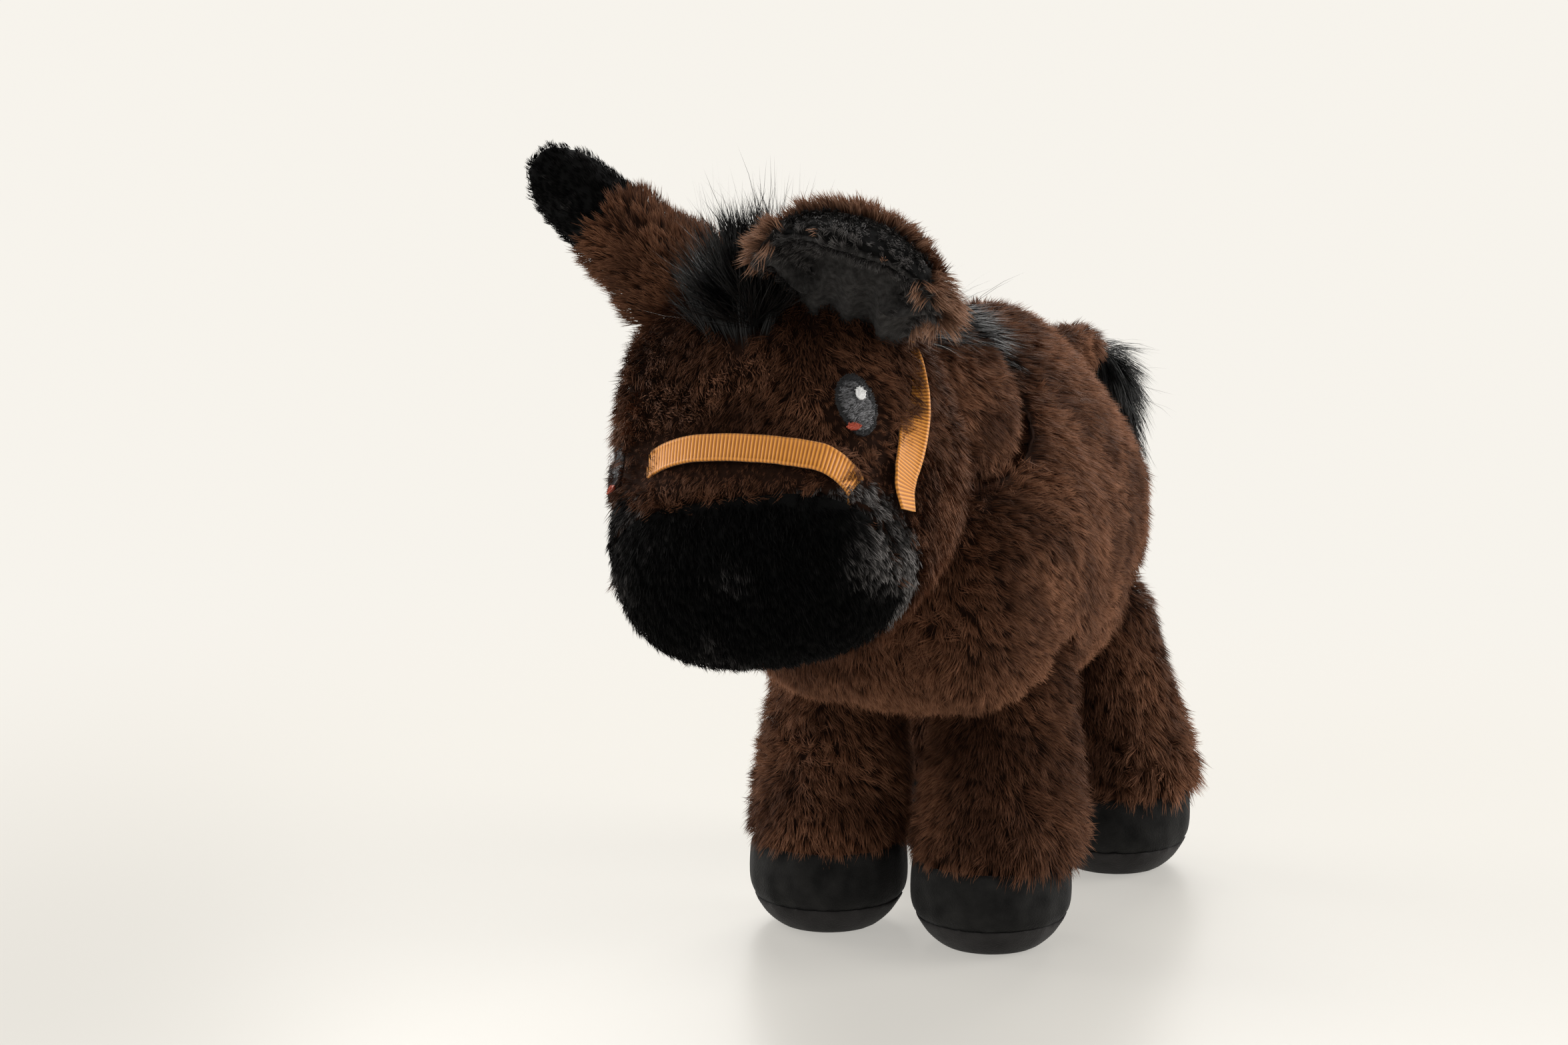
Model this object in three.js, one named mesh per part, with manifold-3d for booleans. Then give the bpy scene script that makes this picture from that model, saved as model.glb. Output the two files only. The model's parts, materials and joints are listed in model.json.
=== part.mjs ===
// Plush donkey standing on four hooves, its head lowered and one ear flopped forward.
// Millimetres, +Z up. The donkey looks along -Y and its left side is +X.
// The origin is on the floor, under the middle of the donkey's outer box.
import * as THREE from 'three';
import { mergeVertices } from 'three/addons/utils/BufferGeometryUtils.js';
import Module from 'manifold-3d';

const wasm = await Module();
wasm.setup();

// Cloth and seams
const plushWall = 3;
const seamGap = 0.3;
const trimGap = 0.85;

// Hooves
const soleHeight = 9;
const soleRound = 8;
const hoofHeight = 33;
const hoofWidth = 58;
const pelletHeight = 13;

// Legs
const legWidth = 60;
const legFlare = 2.5;
const hipHeight = 96;
const hipRadius = 25;
const swingEase = 18;
const frontHips = 68;
const frontHooves = 65;
const hindHips = 52;
const hindHooves = 70;
const legBase = 121;
const frontReach = 13;

// Torso
const torsoLength = 210;
const torsoWidth = 114;
const torsoMid = 152;
const backRise = 76;
const bellyDrop = 69;
const torsoShift = -1;

// Neck
const neckRootRadius = 40;
const neckTopRadius = 34;
const neckLength = 54;
const neckPitch = 17;
const neckYaw = -12;
const neckRootHeight = 191;
const neckRootInset = 44;
const neckOpening = 15;
const nodEase = 14;

// Head and muzzle
const headLength = 140;
const headSkull = 8;
const headWidth = 114;
const headRise = 69;
const jawDrop = 54;
const headPitch = 28;
const headYaw = 12;
const headRoll = -11;
const muzzleSeam = 105;

// Ears
const earLength = 76;
const earSpan = 76;
const earBase = 40;
const earBackThick = 4.5;
const earLiningThick = 3.5;
const earEdgeThick = 1.2;
const earTipLength = 34;
const earSink = 1;
const earForward = -14;
const earBackward = 22;

// Eyes
const eyeWidth = 13;
const eyeHeight = 19;
const eyePlace = 73;
const eyeAngles = { left: 41, right: -50 };
const eyeTilt = -68;
const eyeBorder = 1.4;
const threadThick = 1;

// Halter of ribbed ribbon
const ribbonWidth = 10;
const ribbonThick = 1.2;
const nosebandPlace = 91;
const nosebandEnd = 61;
const crownPlace = 9;
const crownEnd = 34;

// Mane, forelock and tail
const maneWidth = 26;
const maneHeight = 12;
const maneLength = 34;
const forelockWidth = 20;
const forelockLength = 30;
const forelockHeight = 22;
const forelockPlace = 40;
const forelockAngle = 4;
const tailRootRadius = 8;
const tailLength = 92;
const tailWidth = 27;
const dockLength = 24;

// Facets around each kind of form
const bodySides = 20;
const fillSides = 14;
const headRings = 13;
const legSides = 20;
const hoofSides = 16;
const neckSides = 20;

// Cloth colours
const brownPlush = new THREE.MeshStandardMaterial({ color: 0x3d281d, roughness: 0.95, metalness: 0 });
const blackPlush = new THREE.MeshStandardMaterial({ color: 0x0e0d0d, roughness: 0.9, metalness: 0 });
const blackHair = new THREE.MeshStandardMaterial({ color: 0x121110, roughness: 0.75, metalness: 0 });
const blackNap = new THREE.MeshStandardMaterial({ color: 0x1a1a1b, roughness: 0.85, metalness: 0 });
const soleNap = new THREE.MeshStandardMaterial({ color: 0x242426, roughness: 0.85, metalness: 0 });
const ochreRibbon = new THREE.MeshStandardMaterial({ color: 0xc98f42, roughness: 0.7, metalness: 0 });
const greyThread = new THREE.MeshStandardMaterial({ color: 0x46484c, roughness: 0.55, metalness: 0 });
const darkThread = new THREE.MeshStandardMaterial({ color: 0x17181a, roughness: 0.55, metalness: 0 });
const whiteThread = new THREE.MeshStandardMaterial({ color: 0xf2f0ec, roughness: 0.55, metalness: 0 });
const redThread = new THREE.MeshStandardMaterial({ color: 0xb5492f, roughness: 0.55, metalness: 0 });
const fibreFill = new THREE.MeshStandardMaterial({ color: 0xeeece6, roughness: 1, metalness: 0 });
const pelletBag = new THREE.MeshStandardMaterial({ color: 0xd9d6cd, roughness: 0.8, metalness: 0 });

const radians = THREE.MathUtils.degToRad;
const donkey = new THREE.Group();
donkey.name = 'plush_donkey';
const toy = new THREE.Group();
donkey.add(toy);

function addPiece(group, name, geometry, material) {
  const mesh = new THREE.Mesh(geometry, material.clone());
  mesh.name = name;
  group.add(mesh);
}

// Solids for cutting and joining
function solid(geometry) {
  const bare = geometry.clone();
  bare.deleteAttribute('normal');
  bare.deleteAttribute('uv');
  const merged = mergeVertices(bare, 1e-3);
  const vertProperties = new Float32Array(merged.attributes.position.array);
  const triVerts = new Uint32Array(merged.index.array);
  return new wasm.Manifold(new wasm.Mesh({ numProp: 3, vertProperties, triVerts }));
}

function geometryOf(body) {
  const mesh = body.getMesh();
  const geometry = new THREE.BufferGeometry();
  geometry.setAttribute('position', new THREE.BufferAttribute(mesh.vertProperties, 3));
  geometry.setIndex(new THREE.BufferAttribute(mesh.triVerts, 1));
  geometry.computeVertexNormals();
  return geometry;
}

// A closed form from points and faces, with its faces turned outward
function facesOf(points, faces) {
  let volume = 0;
  for (let face = 0; face < faces.length; face += 3) {
    const [a, b, c] = faces.slice(face, face + 3).map((index) => points[index]);
    volume += a.dot(new THREE.Vector3().crossVectors(b, c));
  }
  if (volume < 0) faces.reverse();
  const geometry = new THREE.BufferGeometry().setFromPoints(points);
  geometry.setIndex(faces);
  geometry.computeVertexNormals();
  return geometry;
}

// Rings of points closed to a point at each end
function ringForm(rings, first, last) {
  const sides = rings[0].length;
  const points = [first, ...rings.flat(), last];
  const end = points.length - 1;
  const faces = [];
  for (let side = 0; side < sides; side += 1) {
    const next = (side + 1) % sides;
    faces.push(0, 1 + next, 1 + side);
    const lastRing = 1 + (rings.length - 1) * sides;
    faces.push(end, lastRing + side, lastRing + next);
    for (let ring = 0; ring + 1 < rings.length; ring += 1) {
      const here = 1 + ring * sides;
      const there = here + sides;
      faces.push(here + side, here + next, there + next);
      faces.push(here + side, there + next, there + side);
    }
  }
  return facesOf(points, faces);
}

// A stuffed form along its own length. Each station gives half width, rise and drop in millimetres.
function stuffedShape({ length, start, stations, endRoundness, lowerEnds, upperRoundness, lowerRoundness }) {
  const places = stations.map((station) => station.at);
  const values = stations.flatMap((station) => [station.side, station.rise, station.drop]);
  const curve = new THREE.CubicInterpolant(places, values, 3);
  return (along, angle, inset = 0) => {
    const span = length - 2 * inset;
    const share = THREE.MathUtils.clamp((along - start - inset) / span, 0, 1);
    const domed = (roundness) => (1 - Math.abs(2 * share - 1) ** roundness) ** (1 / roundness);
    const [side, rise, drop] = curve.evaluate(THREE.MathUtils.clamp((along - start) / length, 0, 1));
    const up = Math.cos(angle);
    const out = Math.sin(angle);
    const power = 2 / (up > 0 ? upperRoundness : lowerRoundness);
    const height = up > 0 ? (rise - inset) * domed(endRoundness) : (drop - inset) * domed(lowerEnds);
    const ends = THREE.MathUtils.lerp(lowerEnds, endRoundness, Math.max(0, up));
    const x = (side - inset) * domed(ends) * Math.sign(out) * Math.abs(out) ** power;
    const z = height * Math.sign(up) * Math.abs(up) ** power;
    return new THREE.Vector3(x, along, z);
  };
}

function stuffedForm(shape, length, start, inset, ringCount, sides) {
  const span = length - 2 * inset;
  const from = start + inset;
  const rings = [];
  for (let ring = 1; ring < ringCount; ring += 1) {
    const along = from + (span * (1 - Math.cos((Math.PI * ring) / ringCount))) / 2;
    const points = [];
    for (let side = 0; side < sides; side += 1) {
      points.push(shape(along, (2 * Math.PI * side) / sides, inset));
    }
    rings.push(points);
  }
  const first = new THREE.Vector3(0, from, 0);
  const last = new THREE.Vector3(0, from + span, 0);
  return ringForm(rings, first, last);
}

// The flat faces of such a form, so that trim can lie on them
function facetedShape(shape, length, start, ringCount, sides) {
  const ringAt = (ring) => start + (length * (1 - Math.cos((Math.PI * ring) / ringCount))) / 2;
  const step = (2 * Math.PI) / sides;
  return (along, angle) => {
    const share = THREE.MathUtils.clamp((along - start) / length, 0, 1);
    const ring = Math.min(Math.floor((ringCount * Math.acos(1 - 2 * share)) / Math.PI), ringCount - 1);
    const slide = (along - ringAt(ring)) / (ringAt(ring + 1) - ringAt(ring));
    const side = Math.floor(angle / step);
    const lean = angle / step - side;
    const edge = (at) => shape(ringAt(at), side * step).lerp(shape(ringAt(at), (side + 1) * step), lean);
    return edge(ring).lerp(edge(ring + 1), slide);
  };
}

// A surface of revolution about +Z from an outline that starts and ends on the axis
function turned(points, sides) {
  return new THREE.LatheGeometry(points, sides).rotateX(Math.PI / 2);
}

function spot(across, along) {
  return new THREE.Vector2(across, along);
}

// Part of a circle about a point on the axis, from one angle to another, in degrees
function arc(along, radius, from, to, steps) {
  const curve = new THREE.EllipseCurve(0, along, radius, radius, radians(from), radians(to), from > to);
  return curve.getPoints(steps).map((point) => spot(Math.abs(point.x) < 1e-6 ? 0 : point.x, point.y));
}

function largeBox(size) {
  return new THREE.BoxGeometry(size, size, size);
}

// A pad laid on a surface. place(wide, tall, lift) gives its points; share leaves the middle open.
function pad(place, halfWide, halfTall, lift, thick, crown, spokes, ringCount, share = 0) {
  const layers = [lift, lift + thick];
  const rings = layers.map((height, layer) => {
    const found = [];
    const count = share > 0 ? 2 : ringCount;
    for (let ring = 0; ring < count; ring += 1) {
      const reach = share > 0 ? share + (1 - share) * ring : (ring + 1) / ringCount;
      for (let spoke = 0; spoke < spokes; spoke += 1) {
        const turn = (2 * Math.PI * spoke) / spokes;
        const dome = layer === 1 ? crown * (1 - reach * reach) : 0;
        const wide = halfWide * reach * Math.cos(turn);
        const tall = halfTall * reach * Math.sin(turn);
        found.push(place(wide, tall, height + dome));
      }
    }
    return found;
  });
  const points = [...rings[0], ...rings[1]];
  const layerSize = rings[0].length;
  const count = layerSize / spokes;
  const faces = [];
  const quad = (a, b, c, d) => faces.push(a, b, c, a, c, d);
  for (let spoke = 0; spoke < spokes; spoke += 1) {
    const next = (spoke + 1) % spokes;
    for (let ring = 0; ring + 1 < count; ring += 1) {
      const here = ring * spokes;
      const there = here + spokes;
      quad(here + spoke, here + next, there + next, there + spoke);
      const up = layerSize;
      quad(up + here + spoke, up + there + spoke, up + there + next, up + here + next);
    }
    const rim = (count - 1) * spokes;
    quad(rim + spoke, rim + next, layerSize + rim + next, layerSize + rim + spoke);
    if (share > 0) quad(next, spoke, layerSize + spoke, layerSize + next);
  }
  if (share === 0) {
    points.push(place(0, 0, lift), place(0, 0, lift + thick + crown));
    for (let spoke = 0; spoke < spokes; spoke += 1) {
      const next = (spoke + 1) % spokes;
      faces.push(2 * layerSize, next, spoke);
      faces.push(2 * layerSize + 1, layerSize + spoke, layerSize + next);
    }
  }
  return facesOf(points, faces);
}

// A closed grid between a lower and an upper sheet of points, rows by columns
function sheetForm(lower, upper) {
  const rows = lower.length;
  const columns = lower[0].length;
  const points = [...lower.flat(), ...upper.flat()];
  const top = rows * columns;
  const faces = [];
  const quad = (a, b, c, d) => faces.push(a, b, c, a, c, d);
  const at = (row, column) => row * columns + column;
  for (let row = 0; row + 1 < rows; row += 1) {
    for (let column = 0; column + 1 < columns; column += 1) {
      const corner = [at(row, column), at(row, column + 1), at(row + 1, column + 1), at(row + 1, column)];
      quad(corner[0], corner[3], corner[2], corner[1]);
      quad(top + corner[0], top + corner[1], top + corner[2], top + corner[3]);
    }
    quad(at(row, 0), top + at(row, 0), top + at(row + 1, 0), at(row + 1, 0));
    const edge = columns - 1;
    quad(at(row, edge), at(row + 1, edge), top + at(row + 1, edge), top + at(row, edge));
  }
  const final = rows - 1;
  for (let column = 0; column + 1 < columns; column += 1) {
    quad(at(0, column), at(0, column + 1), top + at(0, column + 1), top + at(0, column));
    const left = at(final, column);
    const right = at(final, column + 1);
    quad(left, top + left, top + right, right);
  }
  return facesOf(points, faces);
}

// Torso, along +Y from chest to rump
const torsoSide = torsoWidth / 2;
const torsoStart = torsoShift - torsoLength / 2;
const torsoShape = stuffedShape({
  length: torsoLength,
  start: torsoStart,
  endRoundness: 2.5,
  lowerEnds: 5,
  upperRoundness: 1.5,
  lowerRoundness: 4.5,
  stations: [
    { at: 0, side: 1.08 * torsoSide, rise: 0.55 * backRise, drop: bellyDrop },
    { at: 0.25, side: 1.07 * torsoSide, rise: 0.86 * backRise, drop: bellyDrop },
    { at: 0.5, side: 0.95 * torsoSide, rise: backRise, drop: 0.98 * bellyDrop },
    { at: 0.75, side: 0.82 * torsoSide, rise: 0.9 * backRise, drop: 0.98 * bellyDrop },
    { at: 1, side: 0.68 * torsoSide, rise: 0.55 * backRise, drop: 0.92 * bellyDrop },
  ],
});
const torso = new THREE.Group();
torso.name = 'torso';
toy.add(torso);
const raised = (geometry) => geometry.translate(0, 0, torsoMid);
const torsoOuter = solid(raised(stuffedForm(torsoShape, torsoLength, torsoStart, 0, 14, bodySides)));
const torsoInner = solid(raised(stuffedForm(torsoShape, torsoLength, torsoStart, plushWall, 10, fillSides)));
const fillInset = plushWall + seamGap;
const torsoFill = solid(raised(stuffedForm(torsoShape, torsoLength, torsoStart, fillInset, 10, fillSides)));

// Hip and shoulder sockets, where the legs swing about X
const hips = [];
const leans = [];
for (const end of [-1, 1]) {
  const [spread, hooves, reach] = end < 0 ? [frontHips, frontHooves, frontReach] : [hindHips, hindHooves, 0];
  for (const side of [1, -1]) {
    hips.push(new THREE.Vector3((side * spread) / 2, (end * legBase) / 2 + reach, hipHeight));
    leans.push(new THREE.Vector2((side * (hooves - spread)) / 2, -reach));
  }
}
const hoofTop = hoofHeight - hipHeight;

// A leg leans so that its hoof stands where it should, and its socket leans with it
function leaning(geometry, lean) {
  const points = geometry.attributes.position;
  for (let index = 0; index < points.count; index += 1) {
    const share = THREE.MathUtils.clamp(points.getZ(index) / hoofTop, 0, 1);
    points.setX(index, points.getX(index) + lean.x * share);
    points.setY(index, points.getY(index) + lean.y * share);
  }
  geometry.computeVertexNormals();
  return geometry;
}
const hipStep = 15;

// The least ball of flat facets that holds a round ball with a seam's gap
function roomFor(radius, sides, step) {
  return (radius + seamGap) / Math.cos(Math.PI / sides) / Math.cos(radians(step) / 2);
}

// A ball socket that opens downward by the angle its joint may swing
function flaredSocket(radius, ease, depth, sides, step) {
  const dome = arc(0, roomFor(radius, sides, step), 90, ease, Math.round((90 - ease) / step));
  const rim = dome[dome.length - 1];
  const mouth = rim.x + (depth + rim.y) * Math.tan(radians(ease));
  return turned([spot(0, -depth), spot(mouth, -depth), ...dome.reverse()], sides);
}

const coverCuts = [];
const fillCuts = [];
hips.forEach((hip, index) => {
  const socket = (sides, step) => flaredSocket(hipRadius, swingEase, hipHeight, sides, step);
  const room = (sides, step) => leaning(socket(sides, step), leans[index]);
  coverCuts.push(solid(room(legSides, hipStep).translate(hip.x, hip.y, hip.z)));
  fillCuts.push(solid(room(12, 20).translate(hip.x, hip.y, hip.z)));
});

// Neck socket, where the neck turns about its own length
const neckRoot = new THREE.Vector3(0, torsoStart + neckRootInset, neckRootHeight);
const neckAim = new THREE.Vector3(0, -1, 0);
neckAim.applyAxisAngle(new THREE.Vector3(1, 0, 0), -radians(neckPitch));
neckAim.applyAxisAngle(new THREE.Vector3(0, 0, 1), radians(neckYaw));
const neckTurn = new THREE.Quaternion().setFromUnitVectors(new THREE.Vector3(0, 0, 1), neckAim);
const neckSlope = THREE.MathUtils.radToDeg(Math.asin((neckRootRadius - neckTopRadius) / neckLength));

function neckOutline(rootRadius, topRadius, steps) {
  const root = arc(0, rootRadius, -90, neckSlope, steps);
  const top = arc(neckLength, topRadius, neckSlope, 90, steps);
  return [...root, ...top];
}

const neckRoom = roomFor(neckRootRadius, neckSides, 0);
const neckCut = turned(neckOutline(neckRoom, roomFor(neckTopRadius, neckSides, 0), 6), neckSides);
neckCut.applyQuaternion(neckTurn).translate(neckRoot.x, neckRoot.y, neckRoot.z);
coverCuts.push(solid(neckCut));
fillCuts.push(solid(neckCut));

const cutBy = (body, cutters) => cutters.reduce((left, cutter) => left.subtract(cutter), body);
const torsoSkin = cutBy(torsoOuter.subtract(torsoInner), coverCuts);
addPiece(torso, 'torso_cover', geometryOf(torsoSkin), brownPlush);
addPiece(torso, 'torso_stuffing', geometryOf(cutBy(torsoFill, fillCuts)), fibreFill);

// Legs, each built about its own hip
const hoofRadius = hoofWidth / 2;
const hoofBore = (hoofRadius - plushWall) * Math.cos(Math.PI / hoofSides);
const floor = -hipHeight;
const soleTop = floor + soleHeight;
const pelletTop = soleTop + pelletHeight;

function legBody(inset, bottom, bore, sides, domeSteps, sideSteps) {
  const radius = hipRadius - inset;
  const dome = arc(0, radius, 90, 0, domeSteps);
  const side = new THREE.SplineCurve([
    dome[domeSteps],
    spot(legWidth / 2 - inset, 0.62 * hoofTop),
    spot(hoofRadius + legFlare - inset, hoofTop),
  ]).getPoints(sideSteps).slice(1);
  const outline = [...dome, ...side];
  if (bore > 0) outline.push(spot(bore, hoofTop), spot(bore, bottom));
  else outline[outline.length - 1].y = bottom;
  outline.push(spot(0, bottom));
  return turned(outline.reverse(), sides);
}

function hoofWallForm() {
  const low = soleTop + seamGap;
  const high = hoofTop - seamGap;
  const inner = hoofRadius - plushWall;
  const outline = [
    spot(inner, low),
    spot(hoofRadius, low),
    spot(hoofRadius + 0.8, (low + high) / 2),
    spot(hoofRadius, high),
    spot(inner, high),
    spot(inner, low),
  ];
  return turned(outline, hoofSides);
}

function soleForm() {
  const flat = hoofRadius - soleRound;
  const round = (radius, from, to) => new THREE.EllipseCurve(
    flat, floor + soleRound, radius, radius, radians(from), radians(to), from > to,
  ).getPoints(2);
  return turned([
    spot(0, floor),
    ...round(soleRound, -90, 0),
    spot(hoofRadius, soleTop),
    spot(hoofRadius - plushWall, soleTop),
    ...round(soleRound - plushWall, 0, -90),
    spot(0, floor + plushWall),
  ], hoofSides);
}

function pelletForm() {
  const inset = plushWall + seamGap;
  const flat = hoofRadius - soleRound;
  return turned([
    spot(0, floor + inset),
    spot(flat, floor + inset),
    spot(hoofBore - seamGap, floor + soleRound),
    spot(hoofBore - seamGap, pelletTop),
    spot(0, pelletTop),
  ], 12);
}

const legNames = ['front_left', 'front_right', 'hind_left', 'hind_right'];
hips.forEach((hip, index) => {
  const name = legNames[index];
  const lean = leans[index];
  const leg = new THREE.Group();
  leg.name = `leg_${name}`;
  leg.position.copy(hip);
  torso.add(leg);
  const outer = solid(legBody(0, hoofTop, 0, legSides, 90 / hipStep, 4));
  const inner = solid(legBody(plushWall, hoofTop - plushWall, 0, 12, 4, 3));
  addPiece(leg, `leg_${name}_cover`, leaning(geometryOf(outer.subtract(inner)), lean), brownPlush);
  const fill = legBody(plushWall + seamGap, pelletTop + seamGap, hoofBore - seamGap, 12, 4, 3);
  addPiece(leg, `leg_${name}_stuffing`, leaning(fill, lean), fibreFill);
  addPiece(leg, `hoof_${name}`, leaning(hoofWallForm(), lean), blackNap);
  addPiece(leg, `hoof_${name}_sole`, leaning(soleForm(), lean), soleNap);
  addPiece(leg, `hoof_${name}_pellets`, leaning(pelletForm(), lean), pelletBag);
});

// Neck, turned about its own length and open at both ends for its stuffing
const neck = new THREE.Group();
neck.name = 'neck';
neck.position.copy(neckRoot);
torso.add(neck);

function neckBore(inset, reach) {
  const lowRadius = neckRootRadius - inset;
  const highRadius = neckTopRadius - inset;
  const opening = neckOpening + plushWall - inset;
  const lowTurn = THREE.MathUtils.radToDeg(Math.acos(opening / lowRadius));
  const highTurn = THREE.MathUtils.radToDeg(Math.acos(opening / highRadius));
  const low = arc(0, lowRadius, -lowTurn, neckSlope, 4);
  const high = arc(neckLength, highRadius, neckSlope, highTurn, 4);
  const bottom = low[0].y - reach;
  const top = high[high.length - 1].y + reach;
  const ends = reach > 0 ? [[spot(opening, bottom)], [spot(opening, top)]] : [[], []];
  return [spot(0, bottom), ...ends[0], ...low, ...high, ...ends[1], spot(0, top)];
}

const neckOuter = solid(turned(neckOutline(neckRootRadius, neckTopRadius, 6), neckSides));
const neckShell = neckOuter.subtract(solid(turned(neckBore(plushWall, 4 * plushWall), 12)));
addPiece(neck, 'neck_cover', geometryOf(neckShell).applyQuaternion(neckTurn), brownPlush);
const neckFill = turned(neckBore(plushWall + seamGap, 0), 12);
addPiece(neck, 'neck_stuffing', neckFill.applyQuaternion(neckTurn), fibreFill);

// Mane, a strip of long pile along the crest of the neck
const crest = new THREE.Vector3(0, 0, 1).addScaledVector(neckAim, -neckAim.z).normalize();
const across = new THREE.Vector3().crossVectors(neckAim, crest);

function onNeck(wide, tall, lift) {
  const along = neckLength / 2 + tall;
  const radius = THREE.MathUtils.mapLinear(along, 0, neckLength, neckRootRadius, neckTopRadius);
  const angle = wide / radius;
  const reach = radius + lift;
  return neckAim.clone().multiplyScalar(along)
    .addScaledVector(crest, reach * Math.cos(angle))
    .addScaledVector(across, reach * Math.sin(angle));
}

const maneShape = pad(onNeck, maneWidth / 2, maneLength / 2, trimGap, 1.5, maneHeight, 12, 3);
addPiece(neck, 'neck_mane', maneShape, blackHair);

// Head and muzzle, along -Y from the neck to the nose
const head = new THREE.Group();
head.name = 'head';
head.position.copy(neckAim).multiplyScalar(neckLength);
head.rotation.set(radians(headPitch), radians(headRoll), radians(headYaw), 'ZXY');
neck.add(head);
const headSide = headWidth / 2;
const headStart = -headSkull;
const headForm = stuffedShape({
  length: headLength,
  start: headStart,
  endRoundness: 2.7,
  lowerEnds: 2.7,
  upperRoundness: 3,
  lowerRoundness: 2.3,
  stations: [
    { at: 0, side: 0.88 * headSide, rise: headRise, drop: 0.76 * jawDrop },
    { at: 0.3, side: headSide, rise: headRise, drop: jawDrop },
    { at: 0.52, side: 0.95 * headSide, rise: 0.78 * headRise, drop: 0.95 * jawDrop },
    { at: 0.7, side: 0.93 * headSide, rise: 0.61 * headRise, drop: 0.77 * jawDrop },
    { at: 0.86, side: 1.02 * headSide, rise: 0.58 * headRise, drop: 0.7 * jawDrop },
    { at: 1, side: 1.03 * headSide, rise: 0.58 * headRise, drop: 0.68 * jawDrop },
  ],
});
const headFacets = facetedShape(headForm, headLength, headStart, headRings, bodySides);
const headShape = (along, angle) => {
  const point = headFacets(along, angle);
  return new THREE.Vector3(point.x, -point.y, point.z);
};
const flipped = (geometry) => geometry.rotateZ(Math.PI);
const headOuter = solid(flipped(stuffedForm(headForm, headLength, headStart, 0, headRings, bodySides)));
const headInner = solid(flipped(stuffedForm(headForm, headLength, headStart, plushWall, 9, fillSides)));
const headFill = solid(flipped(stuffedForm(headForm, headLength, headStart, fillInset, 9, fillSides)));
const nodStep = 12;
const headPose = new THREE.Quaternion().setFromEuler(head.rotation);
const neckInHead = headPose.clone().invert().multiply(neckTurn);
const nodCut = flaredSocket(neckTopRadius, nodEase, neckLength, neckSides, nodStep);
const nodSocket = solid(nodCut.applyQuaternion(neckInHead));
const boxSize = 2 * (headLength + headWidth);
const noseSide = solid(largeBox(boxSize).translate(0, -muzzleSeam - boxSize / 2 + seamGap / 2, 0));
const muzzleSide = solid(largeBox(boxSize).translate(0, -muzzleSeam - boxSize / 2 - seamGap / 2, 0));
const headSkin = headOuter.subtract(headInner);
addPiece(head, 'head_cover', geometryOf(headSkin.subtract(noseSide).subtract(nodSocket)), brownPlush);
addPiece(head, 'muzzle_cover', geometryOf(headSkin.intersect(muzzleSide)), blackPlush);
addPiece(head, 'head_stuffing', geometryOf(headFill.subtract(nodSocket)), fibreFill);

// A place on the head's cloth, then moved on it by millimetres forward and around, and lifted off it
function onHead(along, angle, forward, around, lift) {
  const step = 0.5;
  const turn = radians(angle);
  const girth = headShape(along, turn + 0.01).distanceTo(headShape(along, turn - 0.01)) / 0.02;
  const reach = along + forward;
  const bend = turn + around / girth;
  const ahead = headShape(reach + step, bend).sub(headShape(reach - step, bend));
  const beside = headShape(reach, bend + 0.01).sub(headShape(reach, bend - 0.01));
  const normal = new THREE.Vector3().crossVectors(ahead, beside).normalize();
  const point = headShape(reach, bend);
  if (normal.dot(point) < 0) normal.negate();
  return point.addScaledVector(normal, lift);
}

// Forelock, long pile on the poll between the ears
const onPoll = (wide, tall, lift) => onHead(forelockPlace, forelockAngle, tall, wide, lift);
const forelockFoot = trimGap + seamGap;
const [halfLock, halfRun] = [forelockWidth / 2, forelockLength / 2];
const forelockShape = pad(onPoll, halfLock, halfRun, forelockFoot, 1.5, forelockHeight, 14, 4);
addPiece(head, 'forelock', forelockShape, blackHair);

// Embroidered eyes, each of a rim, a grey field, a red inner corner and a white glint
for (const side of [1, -1]) {
  const name = side > 0 ? 'left' : 'right';
  const lean = radians(eyeTilt);
  const onEye = (offWide, offTall) => (wide, tall, lift) => {
    const a = offWide + wide;
    const b = offTall + tall;
    const forward = a * Math.cos(lean) - b * Math.sin(lean);
    const down = a * Math.sin(lean) + b * Math.cos(lean);
    return onHead(eyePlace, eyeAngles[name], forward, side * down, lift);
  };
  const wide = eyeWidth / 2;
  const tall = eyeHeight / 2;
  const opening = 1 - eyeBorder / wide;
  const rim = pad(onEye(0, 0), wide, tall, trimGap, threadThick, 0, 20, 1, opening);
  addPiece(head, `eye_${name}_rim`, rim, darkThread);
  const fieldWide = wide - eyeBorder - seamGap;
  const fieldTall = tall * opening - seamGap;
  const field = pad(onEye(0, 0), fieldWide, fieldTall, trimGap, threadThick, 0.4, 20, 2);
  addPiece(head, `eye_${name}_field`, field, greyThread);
  const onTop = trimGap + threadThick + 0.4 + seamGap;
  const glint = pad(onEye(-0.17 * wide, -0.34 * tall), 0.27 * wide, 0.2 * tall, onTop, 0.6, 0.2, 10, 1);
  addPiece(head, `eye_${name}_glint`, glint, whiteThread);
  const corner = pad(onEye(0.22 * wide, 0.7 * tall), 0.38 * wide, 0.11 * tall, onTop, 0.6, 0.2, 10, 1);
  addPiece(head, `eye_${name}_corner`, corner, redThread);
}

// Halter: ribbon laid on the head along a line of places given as distance and angle
function ribbon(line, steps) {
  const lower = [];
  const upper = [];
  for (let step = 0; step <= steps; step += 1) {
    const here = line.getPoint(step / steps);
    const heading = line.getTangent(step / steps);
    const girth = headSide * Math.PI / 180;
    const run = new THREE.Vector2(heading.x, heading.y * girth).normalize();
    const rows = [-1, 0, 1].map((edge) => {
      const forward = -run.y * edge * ribbonWidth / 2;
      const around = run.x * edge * ribbonWidth / 2;
      return [forward, around];
    });
    const face = (lift) => rows.map(([forward, around]) => onHead(here.x, here.y, forward, around, lift));
    lower.push(face(trimGap));
    upper.push(face(trimGap + ribbonThick));
  }
  return sheetForm(lower, upper);
}

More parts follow.
